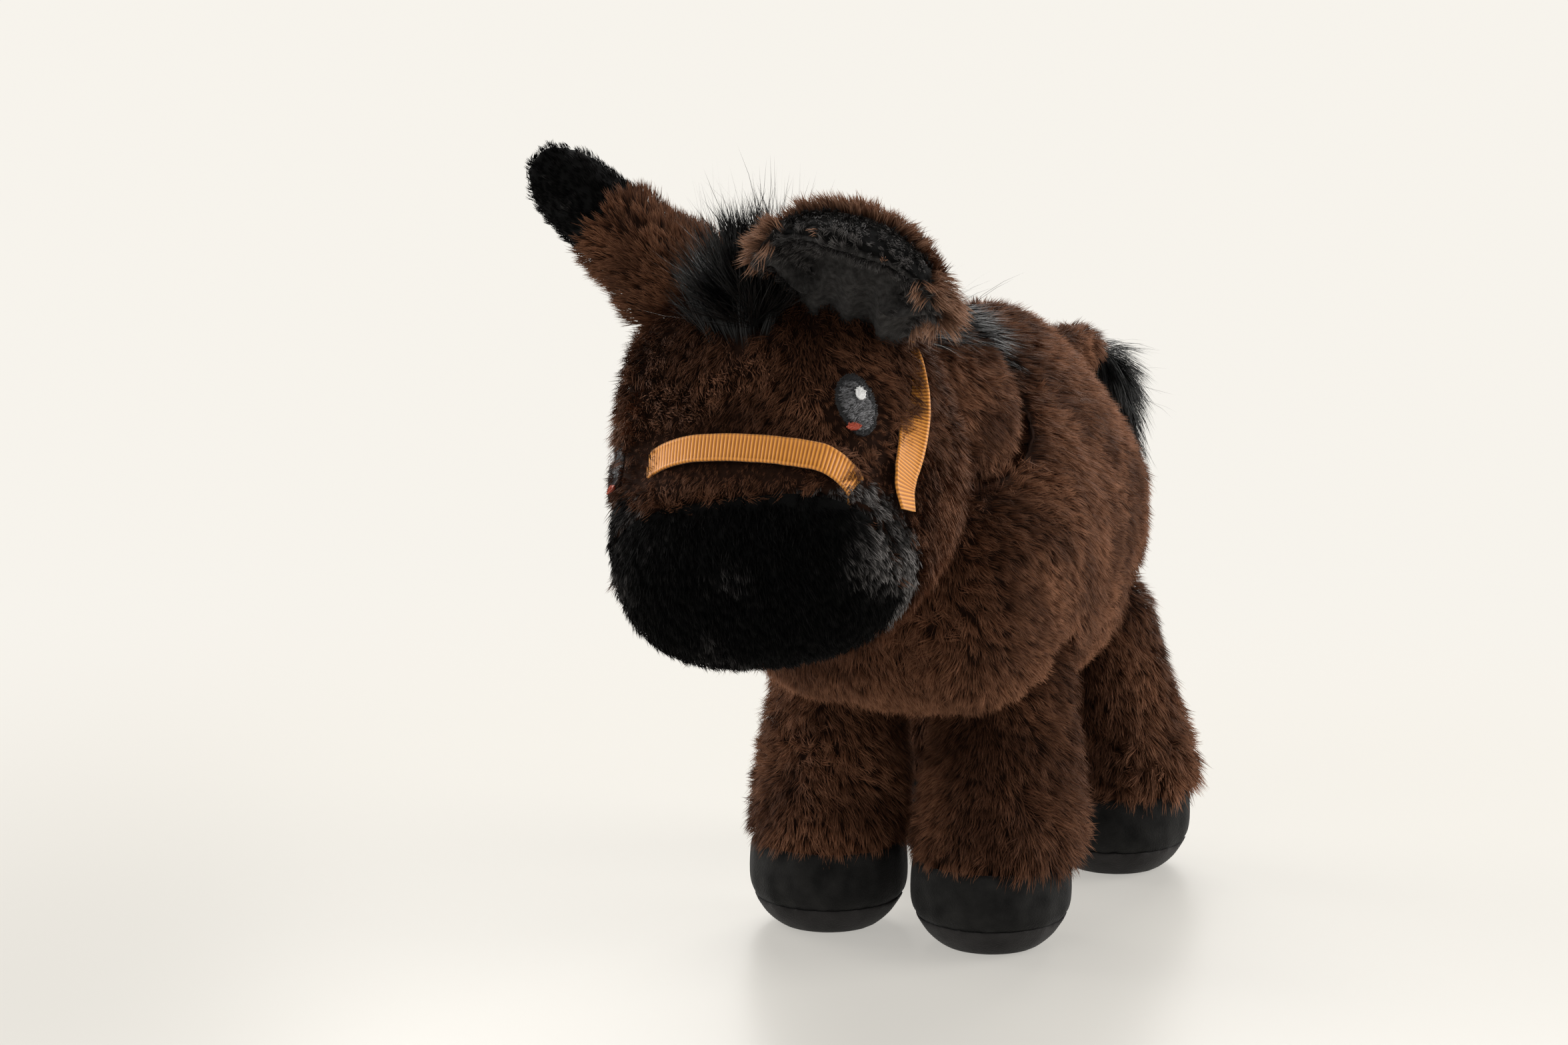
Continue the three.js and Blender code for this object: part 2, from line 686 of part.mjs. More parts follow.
const noseLine = new THREE.SplineCurve([
  spot(nosebandPlace + 2, -nosebandEnd),
  spot(nosebandPlace, -nosebandEnd / 2),
  spot(nosebandPlace, nosebandEnd / 2),
  spot(nosebandPlace + 2, nosebandEnd),
]);
addPiece(head, 'noseband', ribbon(noseLine, 16), ochreRibbon);
const ribbonEase = (ribbonWidth / 2 + 1) / (headSide * Math.PI / 180);
for (const side of [1, -1]) {
  const name = side > 0 ? 'left' : 'right';
  const cheekLine = new THREE.SplineCurve([
    spot(nosebandPlace + 2, side * (nosebandEnd + ribbonEase + 4)),
    spot(0.6 * nosebandPlace, side * (nosebandEnd + 9)),
    spot(0.3 * nosebandPlace, side * (nosebandEnd - 1)),
    spot(crownPlace, side * (crownEnd + ribbonEase)),
  ]);
  addPiece(head, `cheek_strap_${name}`, ribbon(cheekLine, 16), ochreRibbon);
}
const crownLine = new THREE.SplineCurve([
  spot(crownPlace, -crownEnd),
  spot(crownPlace, 0),
  spot(crownPlace, crownEnd),
]);
addPiece(head, 'crown_strap', ribbon(crownLine, 10), ochreRibbon);

// Ears: a leaf of plush with a black tip, lined with short nap, cupped and bent along its length
const headRoom = flipped(stuffedForm(headForm, headLength, headStart, -trimGap, headRings, bodySides));

// A fold runs along the ear, wide at its foot and tighter above, its sides turned back by the cup angle
function earShape(foot, fold, cup, bend) {
  const widths = [earBase, 0.75 * earSpan, earSpan, 0.88 * earSpan, 0.58 * earSpan, 0.2 * earSpan];
  const halves = widths.map((width) => width / 2);
  const outline = new THREE.CubicInterpolant([0, 0.2, 0.45, 0.7, 0.88, 1], halves, 1);
  return (share, reach, depth) => {
    const [half] = outline.evaluate(share);
    const offset = reach * half;
    const radius = fold + (foot - fold) * Math.max(0, 1 - share / 0.45) ** 3;
    const angle = THREE.MathUtils.clamp(offset / radius, -radians(cup), radians(cup));
    const flat = offset - angle * radius;
    const x = (radius + depth) * Math.sin(angle) + flat * Math.cos(angle);
    const sag = (radius + depth) * Math.cos(angle) - radius - flat * Math.sin(angle);
    const arc = radians(bend) / earLength;
    const swing = share * earLength * arc;
    const pivot = 1 / arc;
    return new THREE.Vector3(x, (pivot + sag) * Math.sin(swing), (pivot + sag) * Math.cos(swing) - pivot);
  };
}

function earLayer(shape, shares, thick) {
  const columns = 8;
  const lower = [];
  const upper = [];
  const facing = Math.sign(thick);
  for (const share of shares) {
    const near = [];
    const far = [];
    for (let column = 0; column <= columns; column += 1) {
      const reach = (2 * column) / columns - 1;
      const taper = Math.min(0.5 + 3 * share, 1, 1.25 - 0.5 * share);
      const plump = Math.sqrt(1 - reach * reach) * taper;
      const edge = facing * earEdgeThick;
      near.push(shape(share, reach, facing * seamGap / 2));
      far.push(shape(share, reach, edge + (thick - edge) * plump));
    }
    lower.push(facing > 0 ? near : far);
    upper.push(facing > 0 ? far : near);
  }
  return sheetForm(lower, upper);
}

function addEar(name, { place, angle, foot, fold, cup, bend, aim, back }) {
  const ear = new THREE.Group();
  ear.name = `ear_${name}`;
  ear.position.copy(onHead(place, angle, 0, 0, -earSink));
  const hinge = new THREE.Vector3().crossVectors(aim, back).normalize();
  const length = aim.clone().normalize();
  const outward = new THREE.Vector3().crossVectors(hinge, length);
  ear.quaternion.setFromRotationMatrix(new THREE.Matrix4().makeBasis(hinge, length, outward));
  ear.updateMatrix();
  head.add(ear);
  const shape = earShape(foot, fold, cup, bend);
  const headHere = headRoom.clone().applyMatrix4(ear.matrix.clone().invert());
  const flops = [earForward, 0, earBackward];
  const headCuts = flops.map((flop) => solid(headHere.clone().rotateX(-radians(flop))));
  const seated = (layer) => geometryOf(cutBy(solid(layer), headCuts));
  const split = 1 - earTipLength / earLength;
  const gap = seamGap / 2 / earLength;
  const rows = (from, to) => [0, 0.2, 0.4, 0.6, 0.8, 1].map((part) => THREE.MathUtils.lerp(from, to, part));
  const low = rows(0, split - gap);
  const high = rows(split + gap, 1);
  addPiece(ear, `ear_${name}_back`, seated(earLayer(shape, low, earBackThick)), brownPlush);
  addPiece(ear, `ear_${name}_tip`, earLayer(shape, high, earBackThick), blackPlush);
  const lining = earLayer(shape, [...low, ...high.slice(1)], -earLiningThick);
  addPiece(ear, `ear_${name}_lining`, seated(lining), blackNap);
}

addEar('left', {
  place: 36,
  angle: 35,
  foot: 0.45 * earSpan,
  fold: 0.45 * earSpan,
  cup: 66,
  bend: 85,
  aim: new THREE.Vector3(0.44, 0.03, 0.9),
  back: new THREE.Vector3(0.08, 0.99, -0.05),
});
addEar('right', {
  place: 22,
  angle: -18,
  foot: 0.53 * earSpan,
  fold: 0.19 * earSpan,
  cup: 112,
  bend: 12,
  aim: new THREE.Vector3(-0.7, 0.42, 0.62),
  back: new THREE.Vector3(0.3, -0.69, 0.66),
});

// Tail: a short plush dock and a tuft of long pile hanging behind the rump
const tail = new THREE.Group();
tail.name = 'tail';
const tailAlong = torsoStart + 0.89 * torsoLength;
const tailSeat = torsoShape(tailAlong, 0);
const tailAhead = torsoShape(tailAlong + 1, 0).sub(torsoShape(tailAlong - 1, 0));
const tailNormal = new THREE.Vector3(0, -tailAhead.z, tailAhead.y).normalize();
tail.position.copy(tailSeat).addScaledVector(tailNormal, tailRootRadius + seamGap / 2);
tail.position.z += torsoMid;
torso.add(tail);
const tailLine = new THREE.CatmullRomCurve3([
  new THREE.Vector3(0, 0, 0),
  new THREE.Vector3(0, 0.28 * tailLength, -0.02 * tailLength),
  new THREE.Vector3(0, 0.46 * tailLength, -0.22 * tailLength),
  new THREE.Vector3(0, 0.5 * tailLength, -0.8 * tailLength),
]);

function tailRing(share, radius, back, sides) {
  const centre = tailLine.getPointAt(share);
  const heading = tailLine.getTangentAt(share);
  const up = new THREE.Vector3(1, 0, 0).cross(heading);
  centre.addScaledVector(heading, -back);
  const points = [];
  for (let side = 0; side < sides; side += 1) {
    const turn = (2 * Math.PI * side) / sides;
    const point = centre.clone().addScaledVector(up, radius * Math.sin(turn));
    point.x += radius * Math.cos(turn);
    points.push(point);
  }
  return points;
}

const dockShare = dockLength / tailLength;
const dockRings = [];
for (const turn of [30, 60, 90]) {
  const radius = tailRootRadius * Math.sin(radians(turn));
  dockRings.push(tailRing(0, radius, tailRootRadius * Math.cos(radians(turn)), 12));
}
for (const part of [0.5, 1]) {
  dockRings.push(tailRing(part * dockShare, tailRootRadius * (1 - 0.15 * part), 0, 12));
}
const dockBack = tailLine.getTangentAt(0).multiplyScalar(-tailRootRadius);
addPiece(tail, 'tail_dock', ringForm(dockRings, dockBack, tailLine.getPointAt(dockShare)), brownPlush);
const tuftRings = [];
const tuftStart = dockShare + seamGap / tailLength;
for (let ring = 0; ring < 8; ring += 1) {
  const part = ring / 7;
  const swell = Math.sin(Math.PI * (0.2 + 0.74 * part));
  tuftRings.push(tailRing(tuftStart + (0.98 - tuftStart) * part, (tailWidth / 2) * swell, 0, 12));
}
const tuft = ringForm(tuftRings, tailLine.getPointAt(tuftStart), tailLine.getPointAt(1));
addPiece(tail, 'tail_tuft', tuft, blackHair);

// Set the origin on the floor under the middle of the outer box
toy.updateMatrixWorld(true);
const box = new THREE.Box3().setFromObject(toy, true);
toy.position.set(-(box.min.x + box.max.x) / 2, -(box.min.y + box.max.y) / 2, -box.min.z);

export default donkey;
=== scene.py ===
import json
import math

import bmesh
import bpy
import numpy as np
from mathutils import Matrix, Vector
from mathutils.bvhtree import BVHTree

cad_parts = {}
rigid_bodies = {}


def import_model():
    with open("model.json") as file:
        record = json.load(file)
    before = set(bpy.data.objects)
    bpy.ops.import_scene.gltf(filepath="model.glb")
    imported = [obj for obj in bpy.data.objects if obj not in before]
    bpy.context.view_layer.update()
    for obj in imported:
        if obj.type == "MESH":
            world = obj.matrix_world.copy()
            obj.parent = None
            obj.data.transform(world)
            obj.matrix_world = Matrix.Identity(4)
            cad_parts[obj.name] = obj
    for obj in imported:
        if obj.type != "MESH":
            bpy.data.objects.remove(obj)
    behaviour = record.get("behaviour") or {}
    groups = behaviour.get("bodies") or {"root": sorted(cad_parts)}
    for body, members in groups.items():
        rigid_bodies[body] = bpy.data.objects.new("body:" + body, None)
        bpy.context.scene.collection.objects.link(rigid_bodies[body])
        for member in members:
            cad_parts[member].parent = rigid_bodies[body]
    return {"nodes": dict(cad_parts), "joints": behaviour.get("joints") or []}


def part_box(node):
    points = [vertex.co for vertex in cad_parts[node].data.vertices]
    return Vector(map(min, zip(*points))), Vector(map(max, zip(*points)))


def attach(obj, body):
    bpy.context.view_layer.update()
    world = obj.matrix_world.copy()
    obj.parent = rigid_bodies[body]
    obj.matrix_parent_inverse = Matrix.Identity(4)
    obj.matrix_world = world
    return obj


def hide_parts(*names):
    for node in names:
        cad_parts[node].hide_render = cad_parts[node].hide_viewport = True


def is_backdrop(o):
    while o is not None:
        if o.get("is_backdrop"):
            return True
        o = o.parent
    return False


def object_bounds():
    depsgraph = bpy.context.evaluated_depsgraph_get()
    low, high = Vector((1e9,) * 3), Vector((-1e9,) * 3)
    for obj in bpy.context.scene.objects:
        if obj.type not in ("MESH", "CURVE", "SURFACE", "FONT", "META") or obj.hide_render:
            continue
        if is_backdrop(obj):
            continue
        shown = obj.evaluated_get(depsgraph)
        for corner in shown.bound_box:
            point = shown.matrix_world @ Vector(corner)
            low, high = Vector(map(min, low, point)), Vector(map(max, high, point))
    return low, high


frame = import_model()
cad_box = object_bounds()
scene = bpy.context.scene


# Stuffed bags
# The trunk, neck, head, legs and hooves are bags of pile fabric, sewn inside out and turned,
# then filled with loose polyester fibre, which rounds them between their seams.
def read(rows, field):
    values = np.empty(len(rows) * 3, np.float32)
    rows.foreach_get(field, values)
    return values.reshape(-1, 3).astype(float)


def points_of(piece):
    return read(piece.data.vertices, "co")


def normals_of(piece):
    return read(piece.data.vertex_normals, "vector")


def move_points(piece, places):
    piece.data.vertices.foreach_set("co", np.asarray(places, np.float32).ravel())
    piece.data.update()


def rise(values, start, span):
    """0 up to the start, then rising to 1 over the span."""
    return np.clip((values - start) / span, 0, 1)


def new_piece(name, mesh):
    piece = bpy.data.objects.new(name, mesh)
    scene.collection.objects.link(piece)
    return piece


def settle(piece):
    """The piece's modifiers become its plain mesh."""
    graph = bpy.context.evaluated_depsgraph_get()
    mesh = bpy.data.meshes.new_from_object(piece.evaluated_get(graph))
    piece.modifiers.clear()
    piece.data = mesh
    return piece


def finished_mesh(name, cloth):
    """The mesh of a piece that has been worked on."""
    mesh = bpy.data.meshes.new(name)
    cloth.to_mesh(mesh)
    cloth.free()
    return mesh


def merged_solid(name, solids):
    """The given solids of the frame as one bare piece."""
    sheet = bmesh.new()
    for solid in solids:
        sheet.from_mesh(frame["nodes"][solid].data)
    bmesh.ops.remove_doubles(sheet, verts=sheet.verts, dist=1e-6)
    mesh = finished_mesh(name, sheet)
    mesh.materials.clear()
    return new_piece(name, mesh)


def sewn_bag(name, solids, voxel, ease):
    """One closed fabric bag round the given solids, with its corners eased."""
    bag = merged_solid(name, solids)
    close = bag.modifiers.new("close", "REMESH")
    close.mode = "VOXEL"
    close.voxel_size = voxel
    soften = bag.modifiers.new("soften", "SMOOTH")
    soften.factor = 0.5
    soften.iterations = ease
    return settle(bag)


def fill_with_fibre(bag, pressure, most, frames=20):
    """Some frames of cloth blown out by its filling. No point moves further than most."""
    rest = points_of(bag)
    cloth = bag.modifiers.new("filling", "CLOTH")
    cloth.settings.use_pressure = True
    cloth.settings.uniform_pressure_force = pressure
    cloth.settings.effector_weights.gravity = 0
    cloth.point_cache.frame_start = 1
    cloth.point_cache.frame_end = frames
    for count in range(1, frames + 1):
        scene.frame_set(count)
    settle(bag)
    scene.frame_set(1)
    step = points_of(bag) - rest
    far = np.linalg.norm(step, axis=1, keepdims=True)
    move_points(bag, rest + step * np.minimum(1, most / np.maximum(far, 1e-9)))


def draw_in(bag, depth):
    move_points(bag, points_of(bag) - normals_of(bag) * depth)


legs = ["front_left", "front_right", "hind_left", "hind_right"]
bags = {}
for part, voxel, ease in (
    ("torso", 0.005, 5),
    ("neck", 0.0045, 5),
    *(("leg_" + leg, 0.0045, 4) for leg in legs),
):
    bags[part] = sewn_bag(part + "_bag", [part + "_cover", part + "_stuffing"], voxel, ease)
whole_head = sewn_bag(
    "whole_head", ["head_cover", "head_stuffing", "muzzle_cover"], 0.004, 6
)

# The head is turned as it is sewn on: across runs along its nod pin, nose runs down its middle.
joints = {joint["name"]: joint for joint in frame["joints"]}
nod = joints["head_nod"]
nose_drop = math.radians(28.4)
head_at = np.array(nod["pos_m"])
across = np.array(nod["axis"])
level_back = np.cross((0, 0, 1), across)
level_back /= np.linalg.norm(level_back)
nose = -(
    level_back * math.cos(nose_drop)
    + np.cross(across, level_back) * math.sin(nose_drop)
)
crown = np.cross(across, -nose)
muzzle_seam = 0.105


def cut_off(bag, name, at, keep):
    """The part of a closed bag on one side of a plane, closed again at the cut."""
    cloth = bmesh.new()
    cloth.from_mesh(bag.data)
    bmesh.ops.bisect_plane(
        cloth,
        geom=cloth.verts[:] + cloth.edges[:] + cloth.faces[:],
        plane_co=Vector(at),
        plane_no=Vector(keep),
        clear_inner=True,
    )
    rim = [edge for edge in cloth.edges if edge.is_boundary]
    bmesh.ops.holes_fill(cloth, edges=rim)
    bmesh.ops.triangulate(cloth, faces=[f for f in cloth.faces if len(f.verts) > 4])
    bmesh.ops.recalc_face_normals(cloth, faces=cloth.faces)
    return new_piece(name, finished_mesh(name, cloth))


seam_at = head_at + nose * muzzle_seam
seam_gap = 0.0002
bags["head"] = cut_off(whole_head, "head_bag", seam_at - nose * seam_gap, -nose)
bags["muzzle"] = cut_off(whole_head, "muzzle_bag", seam_at + nose * seam_gap, nose)
bpy.data.objects.remove(whole_head)
fill_pressure = 4
most_swell = 0.003
pile_depth = 0.0042
face_depth = 0.0018
for part, bag in bags.items():
    fill_with_fibre(bag, fill_pressure, most_swell)
    draw_in(bag, face_depth if part in ("head", "muzzle") else pile_depth)


# Brown pile of the trunk, neck and legs
# A knitted backing with long acrylic pile, brushed and crushed into small locks. Each fibre is
# dark at its root, painted shade deep in the pile, and lighter towards its tip, a painted
# highlight where the ends catch the light.
def add_step(tree, kind, wires=None, **settings):
    step = tree.nodes.new(kind)
    for key, value in settings.items():
        setattr(step, key, value)
    for key, value in (wires or {}).items():
        if isinstance(key, int):
            socket = step.inputs[key]
        else:
            socket = next(s for s in step.inputs if s.enabled and s.name == key)
        if isinstance(value, bpy.types.NodeSocket):
            tree.links.new(value, socket)
        else:
            socket.default_value = value
    return next(s for s in step.outputs if s.enabled)


def new_tree(name, inputs):
    """An empty Geometry Nodes tree, its inputs by name, and short ways to add steps to it."""
    tree = bpy.data.node_groups.new(name, "GeometryNodeTree")
    for label, kind in inputs.items():
        tree.interface.new_socket(label, in_out="INPUT", socket_type="NodeSocket" + kind)
    tree.interface.new_socket("Geometry", in_out="OUTPUT", socket_type="NodeSocketGeometry")
    given = {s.name: s for s in tree.nodes.new("NodeGroupInput").outputs}

    def step(kind, wires=None, **settings):
        return add_step(tree, kind, wires, **settings)

    def vector(operation, first, second=None):
        wires = {0: first}
        if second is not None:
            wires["Scale" if operation == "SCALE" else 1] = second
        return step("ShaderNodeVectorMath", wires, operation=operation)

    def number(operation, first, second=0.0, third=0.0):
        return step("ShaderNodeMath", {0: first, 1: second, 2: third}, operation=operation)

    def named(label, kind="FLOAT"):
        return step("GeometryNodeInputNamedAttribute", {"Name": label}, data_type=kind)

    return tree, given, step, vector, number, named


def run_tree(piece, tree, values):
    """Runs a tree on a piece with the given values, and keeps what it makes."""
    made = piece.modifiers.new(tree.name, "NODES")
    made.node_group = tree
    for socket in tree.interface.items_tree:
        if socket.item_type == "SOCKET" and socket.name in values:
            made[socket.identifier] = values[socket.name]
    settle(piece)


def pile_tree():
    """Tufts planted over a backing, laid by its combing and pulled into locks."""
    lay_sizes = ("Lean", "Lock size", "Lock pull", "Swirl size", "Swirl pull", "Stray")
    inputs = {
        "Backing": "Geometry",
        "Tufts": "Collection",
        "Kinds of tuft": "Int",
        "Pile": "Material",
        "Tufts per square metre": "Float",
        **dict.fromkeys(lay_sizes, "Float"),
        "Shade size": "Float",
        "Seed": "Int",
    }
    tree, given, step, vector, number, named = new_tree("sewn_pile", inputs)
    patch_contrast, patch_shift, patch_jitter = 2.4, -0.8, 0.25
    strand_share, patch_share = 0.3, 0.66

    def chance(low, high, offset, kind="FLOAT"):
        wires = {"Min": low, "Max": high, "Seed": number("ADD", given["Seed"], offset)}
        return step("FunctionNodeRandomValue", wires, data_type=kind)

    def drift(size, shift):
        place = vector("ADD", step("GeometryNodeInputPosition"), shift)
        scale = number("DIVIDE", 1.0, size)
        wires = {"Vector": place, "Scale": scale, "Detail": 1.0}
        return step("ShaderNodeTexNoise", wires).node.outputs["Color"]

    def pulled(way, pull, share):
        return vector("ADD", way, vector("SCALE", pull, share))

    density = number("MULTIPLY", given["Tufts per square metre"], named("cover"))
    planted = step(
        "GeometryNodeDistributePointsOnFaces",
        {"Mesh": given["Backing"], "Density": density, "Seed": given["Seed"]},
        distribute_method="RANDOM",
    )
    up = planted.node.outputs["Normal"]
    half = (0.5, 0.5, 0.5)
    lock = vector("SUBTRACT", drift(given["Lock size"], (1.3, 4.1, 2.7)), half)
    swirl = vector("SUBTRACT", drift(given["Swirl size"], (5.2, 0.4, 7.9)), half)
    stray = chance((-1, -1, -1), (1, 1, 1), 11, "FLOAT_VECTOR")
    combed = pulled(named("lay", "FLOAT_VECTOR"), lock, given["Lock pull"])
    combed = pulled(combed, swirl, given["Swirl pull"])
    combed = pulled(combed, stray, given["Stray"])
    along_up = vector("DOT_PRODUCT", combed, up).node.outputs["Value"]
    flow = vector("NORMALIZE", vector("SUBTRACT", combed, vector("SCALE", up, along_up)))
    lean = number("MULTIPLY", given["Lean"], chance(0.6, 1.25, 23))
    stand = pulled(vector("SCALE", up, number("COSINE", lean)), flow, number("SINE", lean))
    turn = step(
        "FunctionNodeAxesToRotation",
        {"Primary Axis": stand, "Secondary Axis": flow},
        primary_axis="Z",
        secondary_axis="X",
    )
    kinds = step(
        "GeometryNodeCollectionInfo",
        {"Collection": given["Tufts"], "Separate Children": True, "Reset Children": True},
    )
    tufts = step(
        "GeometryNodeInstanceOnPoints",
        {
            "Points": planted,
            "Instance": kinds,
            "Pick Instance": True,
            "Instance Index": chance(0, number("SUBTRACT", given["Kinds of tuft"], 1), 47, "INT"),
            "Rotation": turn,
            "Scale": number("MULTIPLY", named("reach"), chance(0.75, 1.15, 31)),
        },
    )
    shade = drift(given["Shade size"], (9.1, 3.3, 6.5))
    patch = step("ShaderNodeSeparateXYZ", {"Vector": shade})
    tint = number("MULTIPLY_ADD", patch, patch_contrast, patch_shift)
    tint = number("ADD", tint, chance(-patch_jitter, patch_jitter, 59))
    # The given tone holds real tone, such as worn patches and paler brows, and painted light: painted
    # shade, sheen and rim light.
    tint = number("ADD", tint, named("fade"))
    tint = step("ShaderNodeClamp", {"Value": tint, "Min": 0.0, "Max": 1.0})
    shaded = step(
        "GeometryNodeStoreNamedAttribute",
        {"Geometry": tufts, "Name": "tint", "Value": tint},
        data_type="FLOAT",
        domain="INSTANCE",
    )
    real = step("GeometryNodeRealizeInstances", {"Geometry": shaded})
    bake = named("OFBake", "FLOAT_VECTOR")
    strip = step("ShaderNodeSeparateXYZ", {"Vector": bake}).node.outputs
    tone = number("MULTIPLY", named("tint"), patch_share)
    tone = number("MULTIPLY_ADD", strip["X"], strand_share, tone)
    strand = step("ShaderNodeCombineXYZ", {"X": tone, "Y": strip["Y"]})
    real = step(
        "GeometryNodeStoreNamedAttribute",
        {"Geometry": real, "Name": "OFBake", "Value": strand},
        data_type="FLOAT2",
        domain="CORNER",
    )
    for label in ("lay", "cover", "reach", "fade", "tint"):
        real = step("GeometryNodeRemoveAttribute", {"Geometry": real, "Name": label})
    real = step("GeometryNodeSetShadeSmooth", {"Geometry": real})
    real = step("GeometryNodeSetMaterial", {"Geometry": real, "Material": given["Pile"]})
    tree.links.new(real, tree.nodes.new("NodeGroupOutput").inputs["Geometry"])
    return tree


sewn_pile = pile_tree()


def tuft_kinds(
    name, seed, strands, length, spread, width, bend=0.3, bends=2, gather=0.1, kinds=8
):
    """A few small tufts of tapered fibres, each bent towards its own X and drawn to a point."""
    drawer = bpy.data.collections.new(name)
    dice = np.random.default_rng(seed)
    for kind in range(kinds):
        tuft = bmesh.new()
        strip = tuft.loops.layers.uv.new("OFBake")
        for strand in range(strands):
            turn = dice.uniform(0, 2 * math.pi)
            out = spread * math.sqrt(dice.uniform())
            foot = np.array((out * math.cos(turn), out * math.sin(turn), 0))
            tall = length * dice.uniform(0.72, 1.08)
            lay = bend * tall * dice.uniform(0.6, 1.3)
            side = dice.normal(0, 0.1) * tall
            yaw = math.pi / 2 + dice.uniform(-0.9, 0.9)
            edge = np.array((math.cos(yaw), math.sin(yaw), 0)) * width / 2
            tone = dice.uniform(0.05, 0.95)
            rows = []
            for row in range(bends + 1):
                share = row / bends
                sag = 1 - 0.3 * bend * share
                middle = foot * (1 - gather * share)
                middle = middle + (lay * share**2, side * share**2, tall * share * sag)
                half = edge * (1.15 - 0.75 * share**2)
                ends = (middle - half, middle + half) if 0 < row < bends else (middle,)
                rows.append((share, [tuft.verts.new(point) for point in ends]))
            for (low, feet), (high, heads) in zip(rows, rows[1:]):
                sheet = tuft.faces.new(feet + heads[::-1])
                for loop in sheet.loops:
                    at = low if loop.vert in feet else high
                    shift = 0.02 if loop.vert in (feet[-1], heads[-1]) else 0
                    loop[strip].uv = (tone + shift, 0.02 + 0.96 * at)
        label = f"{name}_{kind}"
        drawer.objects.link(bpy.data.objects.new(label, finished_mesh(label, tuft)))
    return drawer


def new_finish(name, rough, gloss):
    """A plain finish, with its tree and the inputs of its shader."""
    finish = bpy.data.materials.new(name)
    finish.use_nodes = True
    looks = finish.node_tree.nodes["Principled BSDF"].inputs
    looks["Roughness"].default_value = rough
    looks["Specular IOR Level"].default_value = gloss
    return finish, finish.node_tree, looks


def colour_ramp(tree, share, *stops):
    """A colour for each share, from two or more stops of a place and a colour."""
    ramp = tree.nodes.new("ShaderNodeValToRGB")
    tree.links.new(share, ramp.inputs["Fac"])
    marks = ramp.color_ramp.elements
    for mark, (at, colour) in ((marks[0], stops[0]), (marks[1], stops[-1])):
        mark.position = at
        mark.color = (*colour, 1)
    for at, colour in stops[1:-1]:
        marks.new(at).color = (*colour, 1)
    return ramp.outputs["Color"]


def raise_grain(tree, looks, height, strength, depth):
    bump = add_step(
        tree, "ShaderNodeBump", {"Height": height, "Strength": strength, "Distance": depth}
    )
    tree.links.new(bump, looks["Normal"])


def pile_finish(name, dull, bright, rough=0.7, gloss=0.12, curve=1.0):
    """Fibre colour from a root darkened as painted shade to a tip lightened as a painted highlight,
    for a dull and a bright strand. A high curve keeps most dull.
    """
    finish, tree, looks = new_finish(name, rough, gloss)
    strand = add_step(tree, "ShaderNodeUVMap", uv_map="OFBake")
    split = add_step(tree, "ShaderNodeSeparateXYZ", {"Vector": strand}).node.outputs
    share = add_step(tree, "ShaderNodeMath", {0: split["X"], 1: curve}, operation="POWER")
    mixed = tree.nodes.new("ShaderNodeMix")
    mixed.data_type = "RGBA"
    tree.links.new(share, mixed.inputs["Factor"])
    for label, (root, middle, tip) in (("A", dull), ("B", bright)):
        fibre = colour_ramp(tree, split["Y"], (0.0, root), (0.55, middle), (1.0, tip))
        socket = next(s for s in mixed.inputs if s.name == label and s.type == "RGBA")
        tree.links.new(fibre, socket)
    colour = next(s for s in mixed.outputs if s.type == "RGBA")
    tree.links.new(colour, looks["Base Color"])
    return finish


def knit_finish(name, dark, light):
    """The knitted backing that shows between the tufts."""
    finish, tree, looks = new_finish(name, rough=0.95, gloss=0.1)
    place = tree.nodes.new("ShaderNodeTexCoord").outputs["Object"]
    loops = add_step(tree, "ShaderNodeTexNoise", {"Vector": place, "Scale": 900.0})
    tree.links.new(colour_ramp(tree, loops, (0.0, dark), (1.0, light)), looks["Base Color"])
    raise_grain(tree, looks, loops, 0.4, 0.0004)
    return finish


def grow_pile(name, cloth, body, coat, seed, lay, cover=1.0, reach=1.0, tone=0.0):
    """The pile of one piece as a plain mesh, planted as each point of its cloth notes."""
    tufts, finish, slot, sizes = coat
    pile = new_piece(name, cloth.data.copy())
    count = len(pile.data.vertices)
    for label, value in (("cover", cover), ("reach", reach), ("fade", tone)):
        note = pile.data.attributes.new(label, "FLOAT", "POINT")
        note.data.foreach_set("value", np.broadcast_to(value, count).astype(np.float32))
    note = pile.data.attributes.new("lay", "FLOAT_VECTOR", "POINT")
    lay = np.broadcast_to(lay, (count, 3)).astype(np.float32)
    note.data.foreach_set("vector", lay.ravel())
    kinds = len(tufts.objects)
    planting = {"Tufts": tufts, "Pile": finish, "Kinds of tuft": kinds, "Seed": seed}
    run_tree(pile, sewn_pile, {**planting, **sizes})
    pile.data.name = name
    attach(pile, body)


def feeler(mesh):
    return BVHTree.FromPolygons(
        [v.co for v in mesh.vertices], [p.vertices[:] for p in mesh.polygons]
    )


def clear_of(points, neighbours, near, far):
    """0 inside or close to the neighbours, 1 from far away on."""
    share = np.ones(len(points))
    look = Vector((0.29, 0.13, 0.95)).normalized()
    for neighbour in neighbours:
        tree = feeler(neighbour.data)
        for i, point in enumerate(points):
            start, walls = Vector(point), 0
            gap = tree.find_nearest(start)[3]
            hit = tree.ray_cast(start, look)[0]
            while hit is not None and walls < 20:
                walls += 1
                hit = tree.ray_cast(hit + look * 1e-6, look)[0]
            gap = -gap if walls % 2 else gap
            share[i] = min(share[i], rise(gap, near, far - near))
    return share


def dress(bag, body, solids, finish, slot):
    """The backing of a bag, in place of its solids."""
    bag.data.materials.clear()
    bag.data.materials.append(finish)
    bag.data.shade_smooth()
    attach(bag, body)
    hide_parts(*solids)


